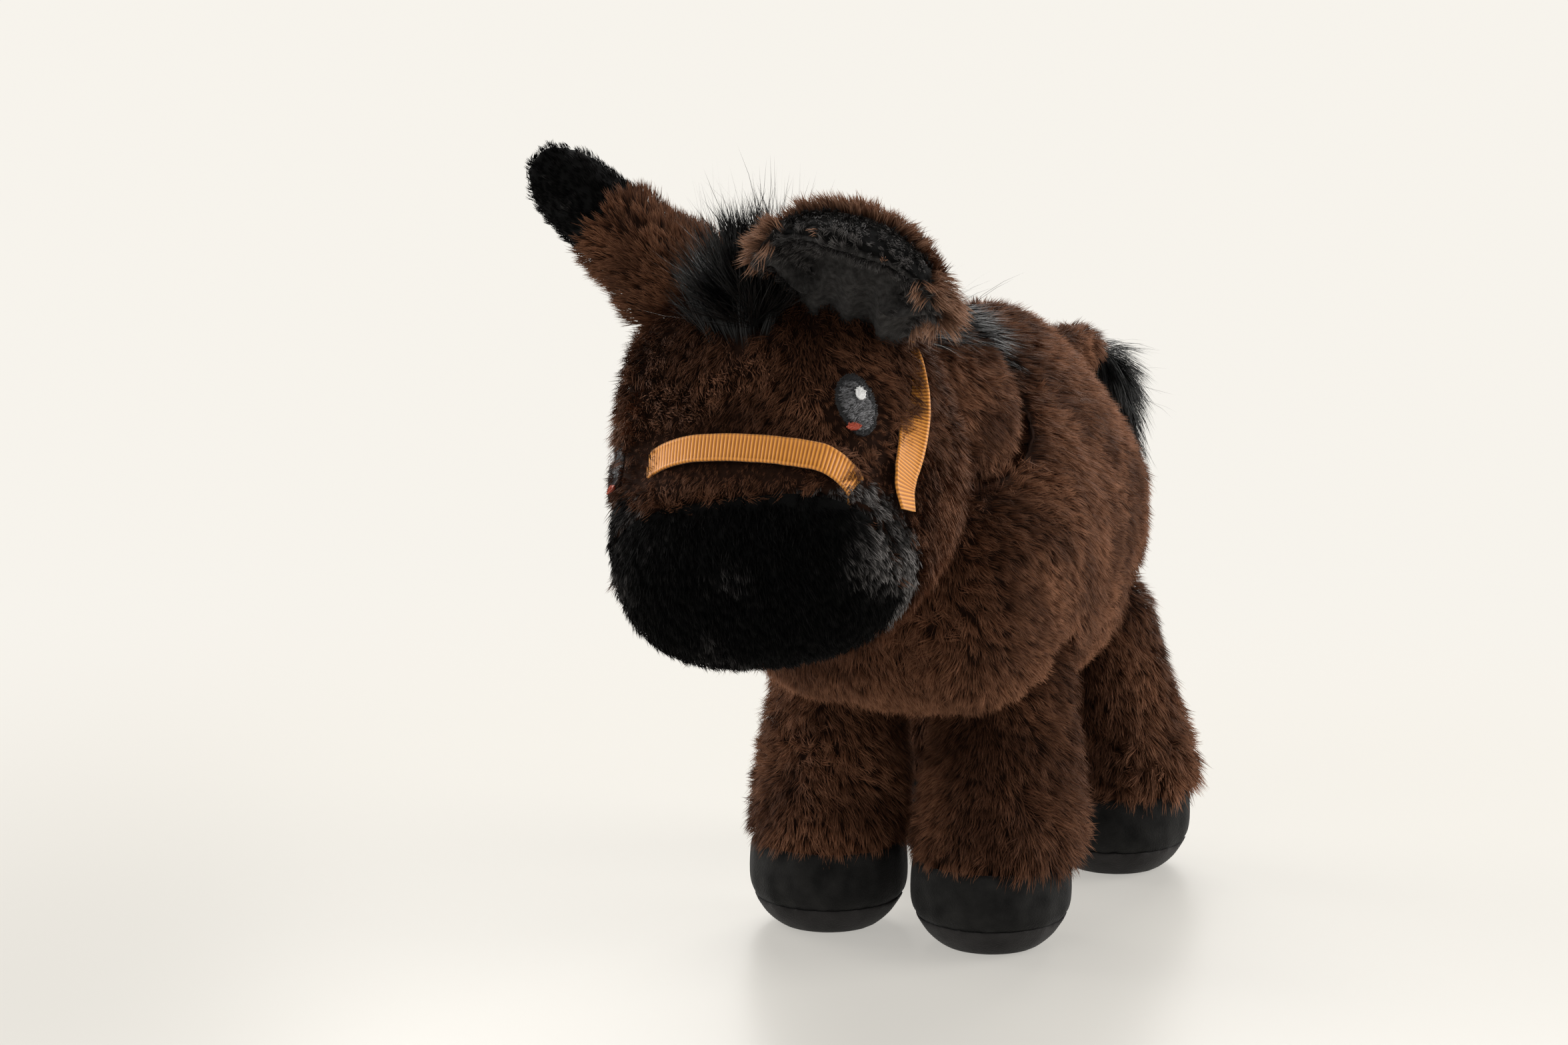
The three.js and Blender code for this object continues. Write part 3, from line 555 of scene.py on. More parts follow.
brown_knit = knit_finish("brown_knit", (0.011, 0.0046, 0.0027), (0.026, 0.011, 0.0062))
brown_pile = pile_finish(
    "brown_pile",
    ((0.009, 0.0034, 0.0018), (0.042, 0.016, 0.008), (0.075, 0.030, 0.015)),
    ((0.022, 0.008, 0.0037), (0.17, 0.068, 0.033), (0.46, 0.22, 0.125)),
)
brown_tufts = tuft_kinds(
    "brown_tuft", seed=3, strands=12, length=0.0082, spread=0.0017, width=0.00028
)
locks = {
    "Tufts per square metre": 2.75e5,
    "Lean": 0.6,
    "Lock size": 0.008,
    "Lock pull": 2.0,
    "Swirl size": 0.045,
    "Swirl pull": 3.0,
    "Stray": 0.4,
    "Shade size": 0.022,
}
brown_coat = (brown_tufts, brown_pile, "brown_plush", locks)


def worn(points, share):
    """Paler and darker patches, a few centimetres wide, where the pile has been handled."""
    return share * np.sin(points @ (70, 45, 95) + 0.6) * np.sin(points @ (-55, 80, 60) + 1.9)


torso_points = points_of(bags["torso"])
torso_lay = np.array((0, 0.45, -1)) + normals_of(bags["torso"]) * (0.5, 0.2, 0)
torso_cover = clear_of(
    torso_points, [bags["neck"]] + [bags["leg_" + leg] for leg in legs], 0.001, 0.004
)
# The trunk's pile is lightened a little all over and more below the belly line: painted light on the
# lit side and underside. worn() adds the handled patches.
belly_height, belly_depth = 0.12, 0.03
torso_low = rise(belly_height - torso_points[:, 2], 0, belly_depth)
torso_tone = 0.08 + worn(torso_points, 0.25) + 0.3 * torso_low
trunk_ends = np.linspace(torso_points[:, 1].min() - 0.001, torso_points[:, 1].max(), 5)
for part, low, high in zip(("chest", "girth", "flank", "rump"), trunk_ends, trunk_ends[1:]):
    here = (torso_points[:, 1] > low) & (torso_points[:, 1] <= high)
    cover = torso_cover * here
    name = f"torso_{part}_pile"
    grow_pile(name, bags["torso"], "torso", brown_coat, 5, torso_lay, cover, tone=torso_tone)
dress(bags["torso"], "torso", ["torso_cover", "torso_stuffing"], brown_knit, "brown_plush")

# Painted shade and light on each leg: the front left leg is darkened as painted shade under the
# chest, and the front right one is lightened as painted light.
leg_tones = {"front_left": -0.22, "front_right": 0.14, "hind_left": -0.05, "hind_right": 0.0}
hock_height, hock_depth = 0.085, 0.04
for number, leg in enumerate(legs):
    part = "leg_" + leg
    bag = bags[part]
    leg_points = points_of(bag)
    leg_up = normals_of(bag)
    leg_lay = np.array((0, 0.1, -1)) + leg_up * 0.2
    cover = clear_of(leg_points, [bags["torso"]], 0.0, 0.004)
    low = rise(hock_height - leg_points[:, 2], 0, hock_depth)
    brushed_out = low * np.clip(leg_up @ (0.9, 0.43, 0), 0, 1) * leg.endswith("left")
    reach = 1 + 0.7 * brushed_out
    tone = worn(leg_points, 0.3) + leg_tones[leg]
    grow_pile(part + "_pile", bag, part, brown_coat, 20 + number, leg_lay, cover, reach, tone)
    dress(bag, part, [part + "_cover", part + "_stuffing"], brown_knit, "brown_plush")

neck_points = points_of(bags["neck"])
neck_up = normals_of(bags["neck"])
neck_lay = np.array((0, 0.3, -1)) + neck_up * 0.2
neck_cover = clear_of(neck_points, [bags["torso"], bags["head"]], 0.0, 0.004)
grow_pile("neck_pile", bags["neck"], "neck", brown_coat, 31, neck_lay, neck_cover)
dress(bags["neck"], "neck", ["neck_cover", "neck_stuffing"], brown_knit, "brown_plush")


# Head and muzzle
# The brown head bag meets a black muzzle panel at a seam under the noseband. The muzzle's pile
# is shorter, and its upper cheeks are tinted grey, a painted sheen that is brighter on its left.
head_points = points_of(bags["head"])
head_up = normals_of(bags["head"])
head_cover = clear_of(head_points, [bags["neck"]], -0.002, 0.003)


def pressed_by(points, solid, near, far, least):
    """The pile's length where trim lies on it: least under the trim, whole from far away on."""
    tree = feeler(frame["nodes"][solid].data)
    gaps = np.array([tree.find_nearest(Vector(point))[3] for point in points])
    return least + (1 - least) * rise(gaps, near, far - near)


ahead = (head_points - head_at) @ nose
beside = (head_points - head_at) @ across
above = (head_points - head_at) @ crown
shows = rise(ahead, 0.04, 0.02)
band_shows = 1 - rise(abs(beside), 0.037, 0.006)
strap_shows = rise(ahead, 0.062, 0.022)

# The noseband's ends slide along the face, and the far eye and strap lie further round the head.
band_at = np.clip(0.5 + beside / 0.088, 0, 1)
band_slip = 0.009
band_slide = 0.008
band_shift = band_slide * band_at**1.5 - band_slip * (1 - band_at) ** 1.5
under_band = head_points - np.outer(band_shift, nose)
around = np.cross(nose, head_points - head_at)
around *= (-np.sign(around @ crown) / np.linalg.norm(around, axis=1))[:, None]
far_eye_drop = 0.010
far_strap_drop = 0.010
under_far_eye = head_points - around * far_eye_drop
under_far_strap = head_points - around * far_strap_drop
head_reach = np.ones(len(head_points))
for trim, spots, near, far, least, where in (
    ("noseband", under_band, 0.003, 0.0065, 0.4, band_shows),
    ("cheek_strap_left", head_points, 0.003, 0.0065, 0.35, strap_shows),
    ("eye_left_rim", head_points, 0.003, 0.008, 0.3, shows),
    ("eye_right_rim", under_far_eye, 0.0015, 0.003, 0.3, shows),
    ("cheek_strap_right", under_far_strap, 0.002, 0.005, 0.35, strap_shows),
):
    pressed = 1 - (1 - pressed_by(spots, trim, near, far, least)) * where
    head_reach = np.minimum(head_reach, pressed)
poll_ahead, poll_long = 0.026, 0.032
poll_beside, poll_wide = 0.001, 0.017
poll = ((ahead - poll_ahead) / poll_long) ** 2 + ((beside - poll_beside) / poll_wide) ** 2
poll = np.clip(3 - 3 * poll, 0, 1) * (above > 0)
brow_out, brow_width = 0.013, 0.005
brow = np.zeros(len(head_points))
for side in ("left", "right"):
    off = head_points - np.mean(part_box(f"eye_{side}_field"), axis=0)
    far = np.linalg.norm(off, axis=1)
    over = np.clip(off @ (crown - 0.6 * nose) / far, 0, 1)
    brow = np.maximum(brow, over * np.clip(1 - abs(far - brow_out) / brow_width, 0, 1))
seam_back = np.where(beside < 0, 0.024, 0.014) * rise(abs(beside), 0.026, 0.022)
muzzle_side = rise(ahead - muzzle_seam + seam_back, 0, 0.002)
head_lay = nose * 0.8 + head_up * 0.5 - crown * 0.3
# The head's pile is darkened a little as painted shade on the face turned from the light; the brows
# above the eyes are paler.
head_tone = 0.5 * brow - 0.1
for side, sign in (("left", 1), ("right", -1)):
    half = head_cover * (beside * sign > 0) * (1 - poll) * (1 - muzzle_side)
    name = "head_pile_" + side
    grow_pile(name, bags["head"], "head", brown_coat, 41, head_lay, half, head_reach, head_tone)

black_knit = knit_finish("black_knit", (0.0015, 0.0015, 0.0015), (0.004, 0.004, 0.004))
# The bright grey strands give the muzzle's painted sheen; the high curve keeps the rest black.
black_pile = pile_finish(
    "black_pile",
    ((0.0005, 0.0005, 0.0005), (0.001, 0.001, 0.001), (0.0015, 0.0014, 0.0014)),
    ((0.004, 0.004, 0.004), (0.11, 0.102, 0.10), (0.62, 0.58, 0.565)),
    rough=0.6,
    gloss=0.02,
    curve=3.0,
)
black_tufts = tuft_kinds(
    "black_tuft", seed=7, strands=10, length=0.0050, spread=0.0014, width=0.00032
)
sleek = {**locks, "Lean": 1.0, "Lock pull": 0.5, "Swirl pull": 0.8, "Stray": 0.15}
muzzle_lay = -crown * 0.8 + nose * 0.2
muzzle_points = points_of(bags["muzzle"])
muzzle_reach = pressed_by(muzzle_points, "noseband", 0.004, 0.010, 0.4)
muzzle_fore = (muzzle_points - head_at) @ nose
seam_clear = rise(muzzle_fore - muzzle_seam, 0.001, 0.002)
muzzle_beside = (muzzle_points - head_at) @ across
muzzle_above = (muzzle_points - head_at) @ crown
# Painted sheen: grey tint on the muzzle's upper corners and on the black pile beside the muzzle,
# brighter on the left.
sheen_at, sheen_width = 0.047, 0.014
sheen = np.clip(1 - abs(abs(muzzle_beside) - sheen_at) / sheen_width, 0, 1)
sheen = sheen * rise(muzzle_above, -0.012, 0.02)
muzzle_tone = np.where(muzzle_beside > 0, 1.8, 1.1) * sheen - 0.7
side_tone = np.where(beside > 0, 0.6, 0.0)
for name, cloth, density, cover, reach, tone in (
    ("muzzle_pile", bags["muzzle"], 3.4e5, seam_clear, muzzle_reach, muzzle_tone),
    ("muzzle_side_pile", bags["head"], 5.0e5, head_cover * muzzle_side, head_reach, side_tone),
):
    sizes = {**sleek, "Tufts per square metre": density}
    black_coat = (black_tufts, black_pile, "black_plush", sizes)
    grow_pile(name, cloth, "head", black_coat, 51, muzzle_lay, cover, reach, tone)
dress(bags["head"], "head", ["head_cover", "head_stuffing"], brown_knit, "brown_plush")
dress(bags["muzzle"], "head", ["muzzle_cover"], black_knit, "black_plush")


# Hooves
# Black velour caps sewn to the ends of the legs, weighted with a bag of pellets, each with a flat
# sole panel let in at a seam. The short nap shows only as brushed patches and a soft edge.
def velour_finish(name, dark, light, patch):
    finish, tree, looks = new_finish(name, rough=0.85, gloss=0.15)
    place = tree.nodes.new("ShaderNodeTexCoord").outputs["Object"]
    brushed = add_step(
        tree, "ShaderNodeTexNoise", {"Vector": place, "Scale": 1 / patch, "Detail": 4.0}
    )
    tree.links.new(colour_ramp(tree, brushed, (0.35, dark), (0.7, light)), looks["Base Color"])
    grain = add_step(tree, "ShaderNodeTexNoise", {"Vector": place, "Scale": 1600.0})
    raise_grain(tree, looks, grain, 0.6, 0.0005)
    looks["Sheen Weight"].default_value = 0.08
    looks["Sheen Roughness"].default_value = 0.35
    return finish


def rounded_foot(cloth, height=0.018, drawn_in=0.13, lift=0.005):
    """Draws a hoof's foot in at its edge, as a filled cap rounds between its seams."""
    spots = points_of(cloth)
    middle = (spots.min(0) + spots.max(0)) / 2
    spread = (spots.max(0) - spots.min(0)) / 2
    out = np.linalg.norm((spots - middle)[:, :2] / spread[:2], axis=1)
    low = np.clip(1 - spots[:, 2] / height, 0, 1)
    spots[:, :2] -= (spots - middle)[:, :2] * (drawn_in * low**2)[:, None]
    spots[:, 2] += lift * low * rise(out, 0.6, 0.4) ** 2
    move_points(cloth, spots)


black_velour = velour_finish("black_velour", (0.004, 0.004, 0.004), (0.017, 0.0165, 0.016), 0.010)
sole_velour = velour_finish("sole_velour", (0.016, 0.015, 0.015), (0.034, 0.032, 0.032), 0.014)
for leg in legs:
    hoof = "hoof_" + leg
    for name, solids, voxel, ease, velour, slot in (
        ("_cap", [hoof, hoof + "_pellets"], 0.0025, 6, black_velour, "black_nap"),
        ("_tread", [hoof + "_sole"], 0.0015, 5, sole_velour, "sole_nap"),
    ):
        cloth = sewn_bag(hoof + name, solids, voxel, ease)
        rounded_foot(cloth)
        dress(cloth, "leg_" + leg, solids, velour, slot)


# Ears
# Each ear is two layers sewn round their edge: a brown pile back with a black plush end let in,
# and a grey velour lining. The left ear folds forward, so its lining shows, puckered by the fold.
ear_tufts = tuft_kinds(
    "ear_tuft", seed=13, strands=10, length=0.0075, spread=0.0012, width=0.00032, bend=0.2
)
plush_tufts = tuft_kinds(
    "plush_tuft", seed=17, strands=10, length=0.0046, spread=0.0012, width=0.00032, bend=0.25
)
grey_velour = velour_finish("grey_velour", (0.016, 0.015, 0.0145), (0.048, 0.046, 0.045), 0.0022)
# A paler copy of the brown pile for the ear's edge fur: its brown is the fur's own, its paleness a
# painted rim light.
ring_pile = pile_finish(
    "ring_pile",
    ((0.016, 0.007, 0.004), (0.09, 0.043, 0.025), (0.17, 0.085, 0.052)),
    ((0.03, 0.013, 0.007), (0.24, 0.125, 0.077), (0.50, 0.30, 0.205)),
)
# A grey copy of the black plush pile, a painted sheen on the folded ear's black end and on the band
# round its lining.
grey_pile = pile_finish(
    "grey_pile",
    ((0.003, 0.003, 0.003), (0.014, 0.0132, 0.013), (0.05, 0.047, 0.046)),
    ((0.006, 0.006, 0.006), (0.05, 0.047, 0.046), (0.20, 0.188, 0.184)),
    rough=0.6,
    gloss=0.02,
)
upright = {
    "Tufts per square metre": 3.4e5,
    "Lean": 0.45,
    "Lock size": 0.006,
    "Lock pull": 1.2,
    "Swirl size": 0.03,
    "Swirl pull": 0.8,
    "Stray": 0.3,
    "Shade size": 0.012,
}
smoothed = {**upright, "Lean": 1.0, "Lock pull": 0.5, "Stray": 0.2}
back_coat = (ear_tufts, brown_pile, "brown_plush", upright)
ring_coat = (ear_tufts, ring_pile, "brown_plush", upright)
grey_coat = (plush_tufts, grey_pile, "black_plush", smoothed)
end_coat = (plush_tufts, black_pile, "black_plush", smoothed)
root_narrowing, narrowed_by = 0.22, 0.03
let_in_depth, let_in_length = 0.008, 0.012
seam_width = 0.006
pucker_pitch, pucker_height, lining_puff = 0.017, 0.002, 0.008
for side in ("left", "right"):
    body = "ear_" + side
    folded = side == "left"
    joint = joints[body + "_flop"]
    root = np.array(joint["pos_m"])
    layers = {}
    for layer in ("back", "tip", "lining"):
        layers[layer] = sewn_bag(f"{body}_{layer}_cloth", [f"{body}_{layer}"], 0.0015, 3)
    to_tip = points_of(layers["tip"]).mean(0) - root
    to_tip /= np.linalg.norm(to_tip)
    if not folded:
        for cloth in layers.values():
            off = points_of(cloth) - root
            along = (off @ to_tip)[:, None]
            narrow = 1 - root_narrowing * np.clip(along / narrowed_by, 0, 1)
            move_points(cloth, root + to_tip * along + (off - to_tip * along) * narrow)
    for cloth in layers.values():
        off = points_of(cloth) - root
        let_in = np.clip(1 - (off @ to_tip) / let_in_length, 0, 1) * let_in_depth
        move_points(cloth, root + off - np.outer(let_in, to_tip))
    covers = {}
    for layer, cloth in layers.items():
        others = [layers[other] for other in layers if other != layer]
        covers[layer] = clear_of(points_of(cloth), others, 0.0006, 0.0012)
    lining = layers["lining"]
    fronts = [feeler(lining.data), feeler(layers["tip"].data)]
    for i, (spot, up) in enumerate(zip(points_of(layers["back"]), normals_of(layers["back"]))):
        faced = [front.ray_cast(Vector(spot), Vector(up), 0.006)[0] for front in fronts]
        if any(hit is not None for hit in faced):
            covers["back"][i] = 0
    edges = {layer: np.ones(len(points_of(cloth))) for layer, cloth in layers.items()}
    brown_end = np.zeros(len(points_of(layers["tip"])))
    if folded:
        hinge = np.array(joint["axis"])
        forth = np.cross(hinge, to_tip)
        shares, widths = {}, {}
        for layer, cloth in layers.items():
            off = points_of(cloth) - root
            flat = np.column_stack((off @ to_tip, off @ forth))
            if layer == "back":
                bow = np.linalg.lstsq(2 * flat, (flat**2).sum(1), rcond=None)[0]
            arm = flat - bow
            turn = np.arctan2(bow[1] * arm[:, 0] - bow[0] * arm[:, 1], -arm @ bow)
            shares[layer] = abs(turn) * np.linalg.norm(bow)
            widths[layer] = off @ hinge
            if layer == "tip":
                ups = normals_of(cloth)
                outer = (np.column_stack((ups @ to_tip, ups @ forth)) * arm).sum(1) > 0
        far_end = max(share.max() for share in shares.values())
        stops = np.linspace(0, far_end, 20)
        every = np.concatenate(list(shares.values()))
        wide = np.concatenate(list(widths.values()))
        near = [wide[abs(every - stop) < 0.005] for stop in stops]
        for layer in layers:
            low = np.interp(shares[layer], stops, [group.min() for group in near])
            high = np.interp(shares[layer], stops, [group.max() for group in near])
            edges[layer] = np.minimum(widths[layer] - low, high - widths[layer])
        edges["lining"] = np.minimum(edges["lining"], far_end - shares["lining"])
        brown_end = np.clip((0.86 * far_end - shares["tip"]) / 0.001 + 5, 0, 1) * outer
        spots = points_of(lining)
        lobe = rise(edges["lining"], 0.004, 0.006)
        pucker = np.sin(widths["lining"] * 2 * math.pi / pucker_pitch + 1.0) * pucker_height
        puffed = covers["lining"] * lobe**2 * (3 - 2 * lobe) * (lining_puff + pucker)
        move_points(lining, spots + normals_of(lining) * puffed[:, None])
    centre = points_of(lining).mean(0)
    rims = {layer: rise(seam_width - edge, 0, 0.001) for layer, edge in edges.items()}
    rims["tip"] = np.maximum(rims["tip"], brown_end)
    band = rise(seam_width - edges["lining"], 0, 0.003)
    outward = {layer: points_of(cloth) - centre for layer, cloth in layers.items()}
    outward = {layer: off / np.linalg.norm(off, axis=1)[:, None] for layer, off in outward.items()}
    hanging = np.clip(outward["back"] @ across - 0.3, 0, 1) * rims["back"]
    back_lay = to_tip + (outward["back"] - to_tip - (0, 0, 0.6)) * rims["back"][:, None]
    back_tone = 0.1 if folded else -0.05
    # The folded ear's black end takes the grey pile and a lighter tone, a painted sheen; the other
    # ear's end stays black.
    tip_coat, tip_tone = (grey_coat, 0.5) if folded else (end_coat, -0.6)
    # The ring and rim are lightened further as painted rim light.
    for name, layer, share, coat, lay, reach, tone in (
        ("back", "back", 1 - rims["back"], back_coat, to_tip, 1.0, back_tone),
        ("ring", "back", rims["back"], ring_coat, back_lay, 1.1 + hanging, 0.75),
        ("rim", "tip", rims["tip"], ring_coat, outward["tip"], 1.1, 0.75),
        ("tip", "tip", 1 - rims["tip"], tip_coat, to_tip, 0.8, tip_tone),
        ("band", "lining", band, grey_coat, outward["lining"], 1.0, 0.5),
    ):
        cover = covers[layer] * share
        if cover.any():
            name = f"{body}_{name}_pile"
            grow_pile(name, layers[layer], body, coat, 81, lay, cover, reach, tone)
    dress(layers["back"], body, [body + "_back"], brown_knit, "brown_plush")
    dress(layers["tip"], body, [body + "_tip"], black_knit, "black_plush")
    dress(lining, body, [body + "_lining"], grey_velour, "ear_nap")


# Forelock, neck mane and tail
# Long straight black fibre, knotted into a backing strip that is caught in the seams of the
# head, neck and rump. A few stray hairs stand out of it.
black_hair = pile_finish(
    "black_hair",
    ((0.001, 0.001, 0.001), (0.002, 0.002, 0.002), (0.003, 0.003, 0.003)),
    ((0.002, 0.002, 0.002), (0.004, 0.004, 0.004), (0.014, 0.013, 0.013)),
    rough=0.45,
    gloss=0.25,
)
hair_tufts = tuft_kinds(
    "hair_tuft", seed=23, strands=10, length=0.024, spread=0.0018, width=0.00034,
    bends=3, gather=0.25,
)
stray_hairs = tuft_kinds(
    "stray_hair", seed=29, strands=2, length=0.036, spread=0.0020, width=0.00014,
    bends=4, gather=0.0,
)
combed_straight = {
    "Tufts per square metre": 3.0e5,
    "Lean": 0.8,
    "Lock size": 0.010,
    "Lock pull": 1.0,
    "Swirl size": 0.04,
    "Swirl pull": 0.6,
    "Stray": 0.15,
    "Shade size": 0.010,
}
wind_blown = {**combed_straight, "Lean": 0.35, "Lock pull": 2.5, "Stray": 0.5}


def plant_hair(name, strip, body, lay, cover, reach, lean, strays, seed):
    """A lock of hair on the given strip, and a count of strays that stand out of it."""
    combed = {**combed_straight, "Lean": lean}
    lock = (hair_tufts, black_hair, "black_hair", combed)
    grow_pile(name + "_hair", strip, body, lock, seed, lay, cover, reach)
    area = sum(face.area for face in strip.data.polygons) * np.mean(cover)
    blown = {**wind_blown, "Tufts per square metre": strays / area}
    loose = (stray_hairs, black_hair, "black_hair", blown)
    grow_pile(name + "_stray_hair", strip, body, loose, seed + 1, lay, cover, reach)


neck_line = np.polyval(np.polyfit(neck_points[:, 1], neck_points[:, 0], 1), neck_points[:, 1])
crest_shift, crest_width = 0.006, 0.011
crest = np.clip(1.5 - abs(neck_points[:, 0] - neck_line - crest_shift) / crest_width, 0, 1)
crest = crest * rise(neck_up[:, 2], 0.3, 0.3) * neck_cover
crest_lay = (0.9, 0.7, -0.4)
plant_hair("crest", bags["neck"], "neck", crest_lay, crest, reach=0.9, lean=0.8, strays=20, seed=87)
poll_lay = np.outer((beside - poll_beside) / 0.016 * 0.5, across) - nose
plant_hair("poll", bags["head"], "head", poll_lay, poll, reach=0.9, lean=0.8, strays=160, seed=89)
for node, body, lay, reach, lean, flatten, strays, seed in (
    ("forelock", "head", crown - nose * 0.5, 1.1, 0.6, 0.4, 150, 91),
    ("neck_mane", "neck", np.array((0.5, 1.0, -0.3)), 0.8, 0.8, 0.2, 20, 93),
    ("tail_tuft", "tail", np.array((0, -0.1, -1.0)), 0.9, 1.2, 0.0, 30, 95),
):
    strip = sewn_bag(node + "_strip", [node], 0.002, 3)
    draw_in(strip, 0.003)
    spots = points_of(strip)
    height = (spots - spots.mean(0)) @ crown
    move_points(strip, spots - np.outer((height - height.min()) * flatten, crown))
    whole = np.ones(len(spots))
    plant_hair(node, strip, body, lay, whole, reach, lean, strays, seed)
    dress(strip, body, [node], black_knit, "black_hair")

dock = sewn_bag("tail_dock_cloth", ["tail_dock"], 0.002, 3)
draw_in(dock, 0.001)
rump_depth, rump_length = 0.014, 0.010
tail_at = np.array(joints["tail_lift"]["pos_m"])
dock_points = points_of(dock)
out_of_rump = dock_points.mean(0) - tail_at
out_of_rump /= np.linalg.norm(out_of_rump)
behind = (dock_points - tail_at) @ out_of_rump
let_in = rump_depth * np.clip(1 - behind / rump_length, 0, 1)
move_points(dock, dock_points - np.outer(let_in, out_of_rump))
dock_coat = (brown_tufts, brown_pile, "brown_plush", {**locks, "Tufts per square metre": 3.2e5})
grow_pile("tail_dock_pile", dock, "tail", dock_coat, 97, (0, 0.8, -0.6), 1.0, 0.9)
dress(dock, "tail", ["tail_dock"], brown_knit, "brown_plush")


# Halter
# Ochre grosgrain ribbon, ribbed across, with a corded edge. The noseband, two cheek straps and
# the strap over the crown are tacked to the head with a few hidden stitches.
ribbon_width = 0.010
ribbon_thick = 0.0008
rib_pitch = 0.0013
rib_height = 0.00022


def section_rows(solid, cuts):
    """The middle and the crosswise direction of a strap at each of the given cuts."""
    rows = []
    for at, facing, beside in cuts:
        strap = bmesh.new()
        strap.from_mesh(frame["nodes"][solid].data)
        bmesh.ops.remove_doubles(strap, verts=strap.verts, dist=1e-6)
        cut = bmesh.ops.bisect_plane(
            strap,
            geom=strap.verts[:] + strap.edges[:] + strap.faces[:],
            plane_co=Vector(at),
            plane_no=Vector(facing),
        )["geom_cut"]
        spots = np.array([v.co for v in cut if isinstance(v, bmesh.types.BMVert)])
        strap.free()
        if len(spots) and beside is not None:
            spots = spots[(spots - at) @ beside > 0]
        if len(spots) > 3:
            middle = (spots.min(0) + spots.max(0)) / 2
            rows.append((middle, np.linalg.svd(spots - spots.mean(0))[2][0]))
    return rows


def eased(values, times):
    """Each row but the first and last drawn towards its neighbours, a number of times."""
    for _ in range(times):
        inner = (values[:-2] + 2 * values[1:-1] + values[2:]) / 4
        values = np.vstack([values[:1], inner, values[-1:]])
    return values


def ribbon_tree():
    """Ribs across a ribbon and cording along its edges, from its own measures."""
    inputs = {"Ribbon": "Geometry", "Rib pitch": "Float", "Rib height": "Float", "Weave": "Material"}
    tree, given, step, vector, number, named = new_tree("grosgrain", inputs)
    turns = number("DIVIDE", named("along"), given["Rib pitch"])
    rib = number("COSINE", number("MULTIPLY", turns, 2 * math.pi))
    edge = number("GREATER_THAN", number("ABSOLUTE", named("side")), 0.8)
    cord = number("COSINE", number("MULTIPLY", turns, 4 * math.pi))
    cord = number("MULTIPLY_ADD", cord, 0.45, 0.75)
    raised = number("MULTIPLY", rib, number("SUBTRACT", 1.0, edge))
    raised = number("MULTIPLY_ADD", cord, edge, raised)
    raised = number("MULTIPLY", raised, given["Rib height"])
    raised = number("MULTIPLY", raised, named("face"))
    offset = vector("SCALE", step("GeometryNodeInputNormal"), raised)
    ribbed = step("GeometryNodeSetPosition", {"Geometry": given["Ribbon"], "Offset": offset})
    ribbed = step("GeometryNodeRealizeInstances", {"Geometry": ribbed})
    ribbed = step("GeometryNodeSetMaterial", {"Geometry": ribbed, "Material": given["Weave"]})
    tree.links.new(ribbed, tree.nodes.new("NodeGroupOutput").inputs["Geometry"])
    return tree


grosgrain = ribbon_tree()
ochre, weave, ochre_looks = new_finish("ochre_grosgrain", rough=0.5, gloss=0.5)
along_note = weave.nodes.new("ShaderNodeAttribute")
along_note.attribute_name = "along"
rib = along_note.outputs["Fac"]
for operation, factor, shift in (
    ("MULTIPLY", 2 * math.pi / rib_pitch, 0.0),
    ("COSINE", 0.0, 0.0),
    ("MULTIPLY_ADD", 0.5, 0.5),
):
    rib = add_step(weave, "ShaderNodeMath", {0: rib, 1: factor, 2: shift}, operation=operation)
# The ochre dye is darker in the hollows between the ribs, painted shade, and lighter on their crests,
# a painted highlight.
dyed = colour_ramp(weave, rib, (0.0, (0.38, 0.12, 0.011)), (1.0, (0.90, 0.365, 0.042)))
weave.links.new(dyed, ochre_looks["Base Color"])
place = weave.nodes.new("ShaderNodeTexCoord").outputs["Object"]
threads = add_step(weave, "ShaderNodeTexNoise", {"Vector": place, "Scale": 2500.0})
rough = add_step(weave, "ShaderNodeMapRange", {"Value": threads, "To Min": 0.4, "To Max": 0.62})
weave.links.new(rough, ochre_looks["Roughness"])
raise_grain(weave, ochre_looks, threads, 0.3, 0.0002)
ochre_looks["Sheen Weight"].default_value = 0.15


def along_ribbon(at, steps, values, times):
    """Values given at each step of a route, spread evenly along a ribbon and eased."""
    return eased(np.stack([np.interp(at, steps, values[:, k]) for k in range(3)], axis=1), times)


def woven_mesh(name, at, line, wide, out):
    """The closed mesh of a ribbon along a line, with its own measures noted on its points."""
    count = len(line) - 1
    sides = np.array([-1, -0.82, -0.78, -0.4, 0, 0.4, 0.78, 0.82, 1])
    strap = bmesh.new()
    layers = []
    for height in (ribbon_thick, 0.0):
        grid = []
        for middle, crosswise, up in zip(line, wide, out):
            spots = [middle + crosswise * ribbon_width / 2 * s + up * height for s in sides]
            grid.append([strap.verts.new(spot) for spot in spots])
        layers.append(grid)
    top, under = layers
    for i in range(count):
        for j in range(len(sides) - 1):
            strap.faces.new((top[i][j], top[i + 1][j], top[i + 1][j + 1], top[i][j + 1]))
            strap.faces.new((under[i][j], under[i][j + 1], under[i + 1][j + 1], under[i + 1][j]))
        for j in (0, -1):
            strap.faces.new((top[i][j], under[i][j], under[i + 1][j], top[i + 1][j]))
    for i in (0, -1):
        for j in range(len(sides) - 1):
            strap.faces.new((top[i][j], top[i][j + 1], under[i][j + 1], under[i][j]))
    bmesh.ops.recalc_face_normals(strap, faces=strap.faces)
    mesh = finished_mesh(name, strap)
    each = (count + 1) * len(sides)
    for label, values in (
        ("along", np.tile(np.repeat(at, len(sides)), 2)),
        ("side", np.tile(sides, 2 * (count + 1))),
        ("face", np.repeat((1.0, 0.0), each)),
    ):
        note = mesh.attributes.new(label, "FLOAT", "POINT")
        note.data.foreach_set("value", values.astype(np.float32))
    return mesh


